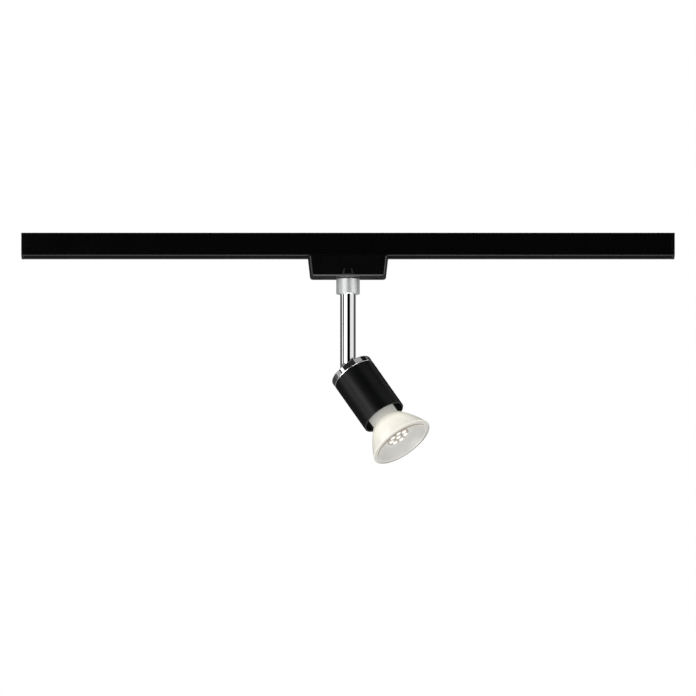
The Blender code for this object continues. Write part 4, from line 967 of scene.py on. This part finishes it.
class SPOT_OT_adapter(bpy.types.Operator):
    """Make the adapter's housing and its two coin locks"""

    bl_idname = "spotlight.adapter"
    bl_label = "Adapter"

    def execute(self, context):
        sizes = context.scene.spot_adapter
        low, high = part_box("adapter_housing")
        housing = self.tapered("housing", low[2], high[2], 0.0, sizes, rounded=True)
        carve(housing, "UNION", *[self.make_rib(low[2], sign, sizes) for _, sign in SIDES])
        inside = low[2] + sizes.floor
        cavity = self.tapered("cavity", inside, high[2] + MARGIN, sizes.wall, sizes, rounded=False)
        through = (low[2] - MARGIN, inside + MARGIN)
        holes = [cavity, rod("neck", sizes.neck_hole / 2, *through, sides=ROUND)]
        for label, _ in SIDES:
            holes.append(rod("lock", sizes.lock_head / 2 + GAP, *through, self.lock_place(label)))
        carve(housing, "DIFFERENCE", *holes)
        hand_over(housing, "adapter", "adapter_housing")
        for label, _ in SIDES:
            self.make_lock(label, inside, sizes)
        return {"FINISHED"}

    def lock_place(self, label):
        """The upright that a lock turns on."""
        spot = JOINTS[f"lock_{label}_turn"]["pos_m"]
        return at(spot[0], spot[1])

    def halves(self, height, sizes):
        """Half the housing's length and depth at a height."""
        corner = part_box("adapter_housing")[1]
        lean = (corner[2] - height) * math.tan(sizes.draft)
        return corner[0] - lean, corner[1] - lean

    def tapered(self, name, low, high, inset, sizes, rounded):
        """A block with the housing's draft, its upright and lower edges rounded where asked."""
        shape = bmesh.new()
        bmesh.ops.create_cube(shape, size=1.0)
        for vert in shape.verts:
            height = high if vert.co.z > 0 else low
            along, deep = self.halves(height, sizes)
            x = math.copysign(along - inset, vert.co.x)
            y = math.copysign(deep - inset, vert.co.y)
            vert.co = (x, y, height)
        if rounded:
            upright = [edge for edge in shape.edges if abs(edge.verts[0].co.z - edge.verts[1].co.z) > TOUCH]
            round_over(shape, upright, sizes.corner)
            lower = [edge for edge in shape.edges if max(vert.co.z for vert in edge.verts) < low + TOUCH]
            round_over(shape, lower, sizes.fillet)
        return solid(name, shape, UPRIGHT)

    def make_rib(self, low, sign, sizes):
        """A rib that tapers up the housing's face over the swivel."""
        foot = low + sizes.fillet
        root = sizes.wall / 3
        shape = bmesh.new()
        bmesh.ops.create_cube(shape, size=1.0)
        for vert in shape.verts:
            height, half, rise = foot, sizes.rib_foot, sizes.rib_foot_rise
            if vert.co.z > 0:
                height, half, rise = foot + sizes.rib_height, sizes.rib_top, sizes.rib_top_rise
            out = rise if sign * vert.co.y > 0 else -root
            deep = self.halves(height, sizes)[1] + out
            vert.co = (math.copysign(half - out, vert.co.x), sign * deep, height)
        rib = solid("rib", shape, UPRIGHT)
        round_edges(rib, sizes.rib_edge)
        return rib

    def make_lock(self, label, inside, sizes):
        """A stepped spindle with a coin slot across its head."""
        node = f"lock_spindle_{label}"
        place = self.lock_place(label)
        foot, top, flange = turned_span(node, place)
        head, shaft, stub = sizes.lock_head / 2, sizes.lock_shaft / 2, sizes.lock_stub / 2
        collar = inside + GAP
        shoulder = collar + sizes.lock_flange
        step = top - sizes.lock_stub_rise
        edge = sizes.coin_slot / 3
        outline = [(0, top), (stub, top), (stub, step), (shaft, step), (shaft, shoulder)]
        outline += [(flange, shoulder), (flange, collar), (head, collar), (head, foot + edge)]
        outline += [(head - edge / 3, foot + edge / 3), (head - edge, foot), (0, foot)]
        spindle = turned(f"lock_{label}", outline, place, SMALL)
        half = sizes.coin_slot / 2
        reach = head + MARGIN
        groove = block("groove", (-half, -reach, foot - MARGIN), (half, reach, foot + sizes.coin_slot), place)
        carve(spindle, "DIFFERENCE", groove)
        hand_over(spindle, f"lock_{label}", node)


class SPOT_OT_collar(bpy.types.Operator):
    """Make the satin collar of the swivel"""

    bl_idname = "spotlight.collar"
    bl_label = "Collar"

    def execute(self, context):
        sizes = context.scene.spot_swivel
        low, high, radius = turned_span("swivel_collar", UPRIGHT)
        edge = sizes.collar_chamfer
        bore = radius - sizes.collar_wall
        lip = turned_span("stem_tube", UPRIGHT)[2] - sizes.flange_step + GAP
        shoulder = low + sizes.collar_lip
        outline = [(bore, high), (radius - edge, high), (radius, high - edge), (radius, low + edge)]
        outline += [(radius - edge, low), (lip, low), (lip, shoulder), (bore, shoulder)]
        collar = turned("collar", softened(outline, edge / 3))
        hand_over(collar, "collar", "swivel_collar")
        return {"FINISHED"}


class SPOT_OT_stem(bpy.types.Operator):
    """Make the polished stem, forked at its foot, and the tilt pin"""

    bl_idname = "spotlight.stem"
    bl_label = "Stem"

    def execute(self, context):
        sizes = context.scene.spot_swivel
        foot, top, flange = turned_span("stem_tube", STEM)
        radius = flange - sizes.flange_step
        bore = radius - sizes.tube_wall
        under = top - sizes.flange_height
        outline = [(flange, top), (flange, under), (radius, under), (radius, foot), (bore, foot), (bore, top)]
        tube = turned("stem", outline, STEM)
        reach = flange + MARGIN
        round_foot = arc(radius + TOUCH, math.pi, FULL_TURN, ROUND // 2)
        kept = [(reach, top + MARGIN), (-reach, top + MARGIN), *round_foot[:-1]]
        kept += [(radius + TOUCH, 0.0), (reach, 0.0)]
        carve(tube, "INTERSECT", prism("foot", kept, -reach, reach, STEM @ ACROSS))
        half = sizes.fork_gap / 2
        fork = block("fork", (-reach, -half, foot - MARGIN), (reach, half, sizes.fork_rise), STEM)
        hole = rod("hole", sizes.pin / 2 + GAP, -reach, reach, STEM @ ACROSS)
        carve(tube, "DIFFERENCE", fork, hole)
        hand_over(tube, "stem", "stem_tube")
        end, thick = radius - GAP, sizes.pin / 2
        outline = [(0, end), (thick, end), (thick, -end), (0, -end)]
        pin = turned("pin", softened(outline, sizes.pin / 10, closed=False), STEM @ ACROSS, SMALL)
        hand_over(pin, "stem", "tilt_pin")
        return {"FINISHED"}


class SPOT_OT_head(bpy.types.Operator):
    """Make the head's polished cap and satin sleeve"""

    bl_idname = "spotlight.head"
    bl_label = "Head"

    def execute(self, context):
        sizes = context.scene.spot_head
        front, back, radius = turned_span("lamp_sleeve", HEAD)
        bore = radius - sizes.sleeve_wall
        outline = [(radius, back), (radius, front), (bore, front), (bore, back)]
        sleeve = turned("sleeve", softened(outline, sizes.sleeve_edge), HEAD)
        hand_over(sleeve, "head", "lamp_sleeve")
        self.make_cap(back + GAP, radius, bore - GAP, sizes, context.scene.spot_swivel)
        return {"FINISHED"}

    def make_cap(self, band, radius, spigot, sizes, swivel):
        """A turned cap with a rim behind and a spigot in front, and the lug that the stem's fork holds."""
        edge = band + sizes.band
        top = edge - sizes.rim_rise
        inside = top - sizes.plate
        rim_bore = radius - sizes.rim_wall
        spigot_bore = spigot - sizes.spigot_wall
        end = band - sizes.spigot
        outline = [(0, top), (rim_bore, top), (rim_bore, edge), (radius, edge), (radius, band)]
        outline += [(spigot, band), (spigot, end), (spigot_bore, end), (spigot_bore, inside), (0, inside)]
        cap = turned("cap", softened(outline, sizes.cap_edge, closed=False), HEAD)
        root = (top + inside) / 2
        wide, half = swivel.lug_radius, swivel.lug / 2
        lug_outline = [(-wide, root), (wide, root), *arc(wide, 0.0, math.pi, SMALL)]
        carve(cap, "UNION", prism("lug", lug_outline, -half, half, HEAD @ ACROSS))
        reach = half + MARGIN
        holes = [rod("pin", swivel.pin / 2 + GAP, -reach, reach, HEAD @ ACROSS)]
        for node in ("cable_grommet", "plate_screw_left", "plate_screw_right"):
            holes.append(self.hole_for(node, inside, top))
        carve(cap, "DIFFERENCE", *holes)
        hand_over(cap, "head", "head_cap")

    def hole_for(self, node, inside, top):
        """A hole through the cap's back for what passes through it there."""
        points = points_of(node, HEAD)
        xs = [point.x for point in points]
        ys = [point.y for point in points]
        place = at((min(xs) + max(xs)) / 2, (min(ys) + max(ys)) / 2, HEAD)
        radius = (max(xs) - min(xs)) * HOLE_SHARE / 2 + GAP
        return rod("hole", radius, inside - MARGIN, top + MARGIN, place)


class SPOT_OT_screws(bpy.types.Operator):
    """Make the slotted screws of the head and the adapter"""

    bl_idname = "spotlight.screws"
    bl_label = "Screws"

    def execute(self, context):
        tree = slotted_screws_tree()
        flipped = HEAD @ Matrix.Rotation(math.pi, 4, "X")
        pairs = (
            ("cap_screws", "head", HEAD, "plate_screw_left", "plate_screw_right"),
            ("holder_screws", "head", flipped, "holder_screw_front", "holder_screw_back"),
            ("carrier_screws", "adapter", UPRIGHT, "carrier_screw_front", "carrier_screw_back"),
        )
        for name, body, place, *nodes in pairs:
            self.make_pair(tree, name, body, place, nodes)
        return {"FINISHED"}

    def make_pair(self, tree, name, body, place, nodes):
        """Two like screws, each where its node is."""
        sizes = bpy.context.scene.spot_head
        spots = []
        for node in nodes:
            points = points_of(node, place)
            middle = sum(points, Vector()) / len(points)
            top = max(point.z for point in points)
            spots.append(Vector((middle.x, middle.y, top - sizes.screw_height)))
        start, end = spots
        # The two are alike, so the last one's points give the sizes of both
        screws = grow(
            name,
            tree,
            place,
            head=2 * max((point.xy - end.xy).length for point in points),
            height=sizes.screw_height,
            shank=sizes.screw_shank,
            depth=start.z - min(point.z for point in points),
            slot=sizes.screw_slot,
            first=start,
            step=end - start,
            finish=finish_for(nodes[0]),
        )
        hand_over(screws, body, *nodes)


class SPOT_OT_lamp(bpy.types.Operator):
    """Make the reflector lamp: base, flared shell, rim, dish and lenses"""

    bl_idname = "spotlight.lamp"
    bl_label = "Lamp"

    def execute(self, context):
        sizes = context.scene.spot_lamp
        front, back, neck = turned_span("lamp_base", HEAD)
        bore = neck - sizes.wall
        inside = back - sizes.wall
        outline = [(0, back), (neck, back), (neck, front), (bore, front), (bore, inside), (0, inside)]
        base = turned("lamp_neck", softened(outline, sizes.wall / 2, closed=False), HEAD)
        hand_over(base, "lamp", "lamp_base")
        self.make_shell(neck, sizes)
        self.make_front(sizes)
        return {"FINISHED"}

    def make_shell(self, neck, sizes):
        """The bowed flare, given its wall, and the rim round its front."""
        start = LAMP_RIM + sizes.rim_depth / 2
        shell = grow(
            "lamp_flare",
            bowed_flare_tree(),
            HEAD @ Matrix.Translation((0, 0, start)),
            neck=neck,
            rim=LAMP_RADIUS,
            depth=sizes.flare - sizes.rim_depth / 2 - GAP / 2,
            bow=sizes.bow,
            finish=finish_for("lamp_shell", frosted_shell),
        )
        shape = bmesh.new()
        shape.from_mesh(shell.data)
        bmesh.ops.recalc_face_normals(shape, faces=shape.faces)
        if sum(self.outwards(face) for face in shape.faces) < 0:
            bmesh.ops.reverse_faces(shape, faces=shape.faces)
        shape.to_mesh(shell.data)
        shape.free()
        wall = shell.modifiers.new("wall", "SOLIDIFY")
        wall.thickness = sizes.wall
        wall.offset = -1.0
        apply_modifiers(shell)
        hand_over(shell, "lamp", "lamp_shell", finish=frosted_shell)
        bore = LAMP_RADIUS - sizes.rim
        lip = LAMP_RIM + sizes.rim_depth
        outline = [(LAMP_RADIUS, lip), (LAMP_RADIUS, LAMP_RIM), (bore, LAMP_RIM), (bore, lip)]
        rim = turned("lamp_rim", softened(outline, sizes.rim_depth / 3), HEAD)
        hand_over(rim, "lamp", "lamp_shell", finish=rim_edge)

    def outwards(self, face):
        """How far a face points away from the lamp's axis."""
        offset = face.calc_center_median() - PIVOT
        return face.normal.dot(offset - LAMP_AXIS * offset.dot(LAMP_AXIS))

    def make_front(self, sizes):
        """The dish and the cluster of lenses at its middle."""
        front, _, brim = turned_span("reflector_dish", HEAD)
        plate_front, plate_back, plate = turned_span("lens_array", HEAD)
        hub = plate + GAP
        face = []
        for part in spread(0.0, 1.0, FLARE_STEPS):
            drop = sizes.dish_drop * math.sin(part * math.pi / 2)
            face.append((brim + (hub - brim) * part, front + drop))
        rear = [(radius, station + sizes.dish_wall) for radius, station in reversed(face)]
        dish = turned("lamp_dish", face + rear, HEAD)
        hand_over(dish, "lamp", "reflector_dish")
        face_station = plate_front + sizes.lens_rise
        lenses = grow(
            "lamp_lenses",
            lens_cluster_tree(),
            HEAD @ Matrix.Translation((0, 0, face_station)),
            plate=2 * plate,
            thickness=plate_back - face_station,
            lens=sizes.lens,
            rise=sizes.lens_rise,
            ring=sizes.lens_ring,
            count=sizes.lens_count,
            finish=finish_for("lens_array"),
        )
        hand_over(lenses, "lamp", "lens_array")


class SPOT_OT_inner_pieces(bpy.types.Operator):
    """Give the pieces that keep their frame meshes their finishes"""

    bl_idname = "spotlight.inner_pieces"
    bl_label = "Inner Pieces"

    def execute(self, context):
        for node in SLOTS:
            if node not in STOOD_FOR:
                mesh = frame["nodes"][node].data
                mesh.materials.clear()
                mesh.materials.append(finish_for(node))
        return {"FINISHED"}


class SPOT_OT_stage(bpy.types.Operator):
    """Set up the camera, the white surroundings, the soft boxes, the flags and the floor"""

    bl_idname = "spotlight.stage"
    bl_label = "Stage"

    def execute(self, context):
        scene = context.scene
        look = scene.spot_stage
        scene.view_settings.view_transform = "Standard"
        self.make_camera(scene, look)
        self.make_world(scene, look)
        self.make_floor(look)
        upper_key, right_rib = look.key * UPPER_KEY_SHARE, look.rib * RIGHT_RIB_SHARE
        # Panels about the pivot: degrees from the front to the right, degrees up, and strength
        boxes = (
            ("key box", (-61, -11), (-34, -3), look.key),
            ("upper key box", (-61, -11), (-3, 13), upper_key),
            ("side box", (31, 91), (-34, 20), look.side),
        )
        cards = (
            ("camera flag", (-11, 31), (-18, 42), 0.0),
            ("high flag", (-62, 12), (15, 76), 0.02),
            ("side flag", (31, 91), (20, 43), 0.0),
            ("high right flag", (12, 128), (43, 54.5), 0.0),
            ("high card", (12, 104), (54.5, 63.5), 0.36),
            ("higher right flag", (12, 104), (63.5, 80), 0.05),
            ("highest right flag", (104, 128), (54.5, 58), 0.0),
            ("left slit", (-81, -61), (2, 50), 0.0),
            ("left flag", (-127, -100), (-3, 55), 0.07),
            ("low left card", (-88, -61), (-17, 2), 0.43),
            ("lowest left card", (-88, -61), (-34, -17), 1.9),
            ("lower left card", (-106, -88), (-34, -3), 0.10),
            ("lowest left flag", (-160, -106), (-34, -3), 0.05),
            ("right flag", (91, 128), (-34, 14), 0.06),
            ("right card", (91, 128), (14, 43), 0.45),
            ("back left card", (-160, -127), (-3, 55), 0.10),
            ("back right card", (128, 150), (-34, 18), 0.34),
            ("upper back right card", (128, 150), (18, 55), 0.12),
            ("back flag", (150, 200), (0, 55), 0.0),
            ("low back flag", (150, 200), (-34, 0), 0.05),
        )
        near_cards = (
            ("under card", (-30, 30), (-90, -42), look.under),
            ("under flag", (30, 330), (-90, -42), 0.2),
            ("lower side card", (31, 62), (-34, -6), look.lower_side),
            ("left rib card", (-108, -86), (20, 46), look.rib),
            ("right rib card", (86, 108), (20, 46), right_rib),
        )
        far, near = look.reach, look.reach / 2
        for rows, reach, lights in ((boxes, far, True), (cards, far, False), (near_cards, near, False)):
            for name, across, up, strength in rows:
                self.make_panel(name, across, up, strength, reach, lights)
        return {"FINISHED"}

    def make_camera(self, scene, look):
        """A long lens that looks up at the object."""
        lens = bpy.data.cameras.new("camera")
        lens.lens = look.lens
        distance = look.view_width * lens.lens / lens.sensor_width
        lens.clip_end = distance * CLIP_DISTANCES
        camera = link_new("camera", lens)
        view = Vector((0, math.cos(look.below), math.sin(look.below)))
        camera.location = Vector((0, 0, look.aim)) - distance * view
        camera.rotation_mode = "QUATERNION"
        camera.rotation_quaternion = view.to_track_quat("-Z", "Y")
        scene.camera = camera

    def make_world(self, scene, look):
        """White where it is seen, directly or in a polished surface, and a soft grey light elsewhere."""
        world = bpy.data.worlds.new("studio")
        graph = bare_graph(world)
        white = graph.node("ShaderNodeBackground", values={"Color": (1, 1, 1), "Strength": 1.0})
        soft = graph.node("ShaderNodeBackground", values={"Color": (1, 1, 1), "Strength": look.fill})
        mixed = graph.node("ShaderNodeMixShader", values={0: seen_rays(graph), 1: soft, 2: white})
        graph.node("ShaderNodeOutputWorld", values={"Surface": mixed})
        scene.world = world

    def make_floor(self, look):
        """A pale disc that keeps the object's shadow and is clear from below."""
        shape = bmesh.new()
        bmesh.ops.create_circle(shape, cap_ends=True, radius=look.floor_radius, segments=ROUND)
        mesh = mesh_from("floor", shape)
        mesh.transform(Matrix.Translation((0, 0, look.floor)))
        material = bpy.data.materials.new("pale floor")
        graph = bare_graph(material)
        matt = graph.node("ShaderNodeBsdfDiffuse", values={"Color": FLOOR_GREY})
        white = graph.node("ShaderNodeEmission", values={"Color": (1, 1, 1), "Strength": 1.0})
        share_of_white = FLOOR_WHITE * seen_rays(graph)
        pale = graph.node("ShaderNodeMixShader", values={0: share_of_white, 1: matt, 2: white})
        clear = graph.node("ShaderNodeBsdfTransparent")
        under = graph.node("ShaderNodeNewGeometry")["Backfacing"]
        both = graph.node("ShaderNodeMixShader", values={0: under, 1: pale, 2: clear})
        graph.node("ShaderNodeOutputMaterial", values={"Surface": both})
        mesh.materials.append(material)
        link_new("floor", mesh)

    def make_panel(self, name, across, up, strength, reach, lights):
        """A curved panel round the object: a soft box, or a grey card that only polished surfaces see."""
        shape = bmesh.new()
        rows = []
        for rise in map(math.radians, spread(*up, PANEL_STEPS)):
            level = math.cos(rise)
            row = []
            for turn in map(math.radians, spread(*across, PANEL_STEPS)):
                way = Vector((math.sin(turn) * level, -math.cos(turn) * level, math.sin(rise)))
                row.append(shape.verts.new(way * reach + PIVOT))
            rows.append(row)
        for low, high in zip(rows, rows[1:]):
            for j in range(PANEL_STEPS):
                shape.faces.new((low[j], high[j], high[j + 1], low[j + 1]))
        mesh = mesh_from(name, shape)
        material = bpy.data.materials.new(name)
        graph = bare_graph(material)
        light = graph.node("ShaderNodeEmission", values={"Color": (1, 1, 1), "Strength": strength})
        graph.node("ShaderNodeOutputMaterial", values={"Surface": light})
        mesh.materials.append(material)
        panel = link_new(name.replace(" ", "_"), mesh)
        panel.visible_camera = False
        panel.visible_transmission = False
        panel.visible_shadow = False
        panel.visible_volume_scatter = False
        panel.visible_diffuse = lights


def seen_rays(graph):
    """1 for rays that show the surroundings, directly or in polish and glass."""
    rays = graph.node("ShaderNodeLightPath")
    seen = graph.math("MAXIMUM", rays["Is Camera Ray"], rays["Is Glossy Ray"])
    return graph.math("MAXIMUM", seen, rays["Is Transmission Ray"])


OPERATORS = (
    SPOT_OT_stage,
    SPOT_OT_rail,
    SPOT_OT_adapter,
    SPOT_OT_collar,
    SPOT_OT_stem,
    SPOT_OT_head,
    SPOT_OT_screws,
    SPOT_OT_lamp,
    SPOT_OT_inner_pieces,
)


class SPOT_PT_sidebar(bpy.types.Panel):
    """Lists the steps that build the spotlight"""

    bl_label = "Track Spotlight"
    bl_idname = "SPOT_PT_sidebar"
    bl_space_type = "VIEW_3D"
    bl_region_type = "UI"
    bl_category = "Spotlight"

    def draw(self, context):
        for operator in OPERATORS:
            self.layout.operator(operator.bl_idname)


def register():
    for group in SETTINGS.values():
        bpy.utils.register_class(group)
    for name, group in SETTINGS.items():
        setattr(bpy.types.Scene, name, PointerProperty(type=group))
    for kind in (*OPERATORS, SPOT_PT_sidebar):
        bpy.utils.register_class(kind)


def unregister():
    for kind in (SPOT_PT_sidebar, *reversed(OPERATORS)):
        bpy.utils.unregister_class(kind)
    for name in SETTINGS:
        delattr(bpy.types.Scene, name)
    for group in SETTINGS.values():
        bpy.utils.unregister_class(group)


def main():
    register()
    bpy.ops.spotlight.stage()
    bpy.ops.spotlight.rail()
    bpy.ops.spotlight.adapter()
    bpy.ops.spotlight.collar()
    bpy.ops.spotlight.stem()
    bpy.ops.spotlight.head()
    bpy.ops.spotlight.screws()
    bpy.ops.spotlight.lamp()
    bpy.ops.spotlight.inner_pieces()


if __name__ == "__main__":
    main()
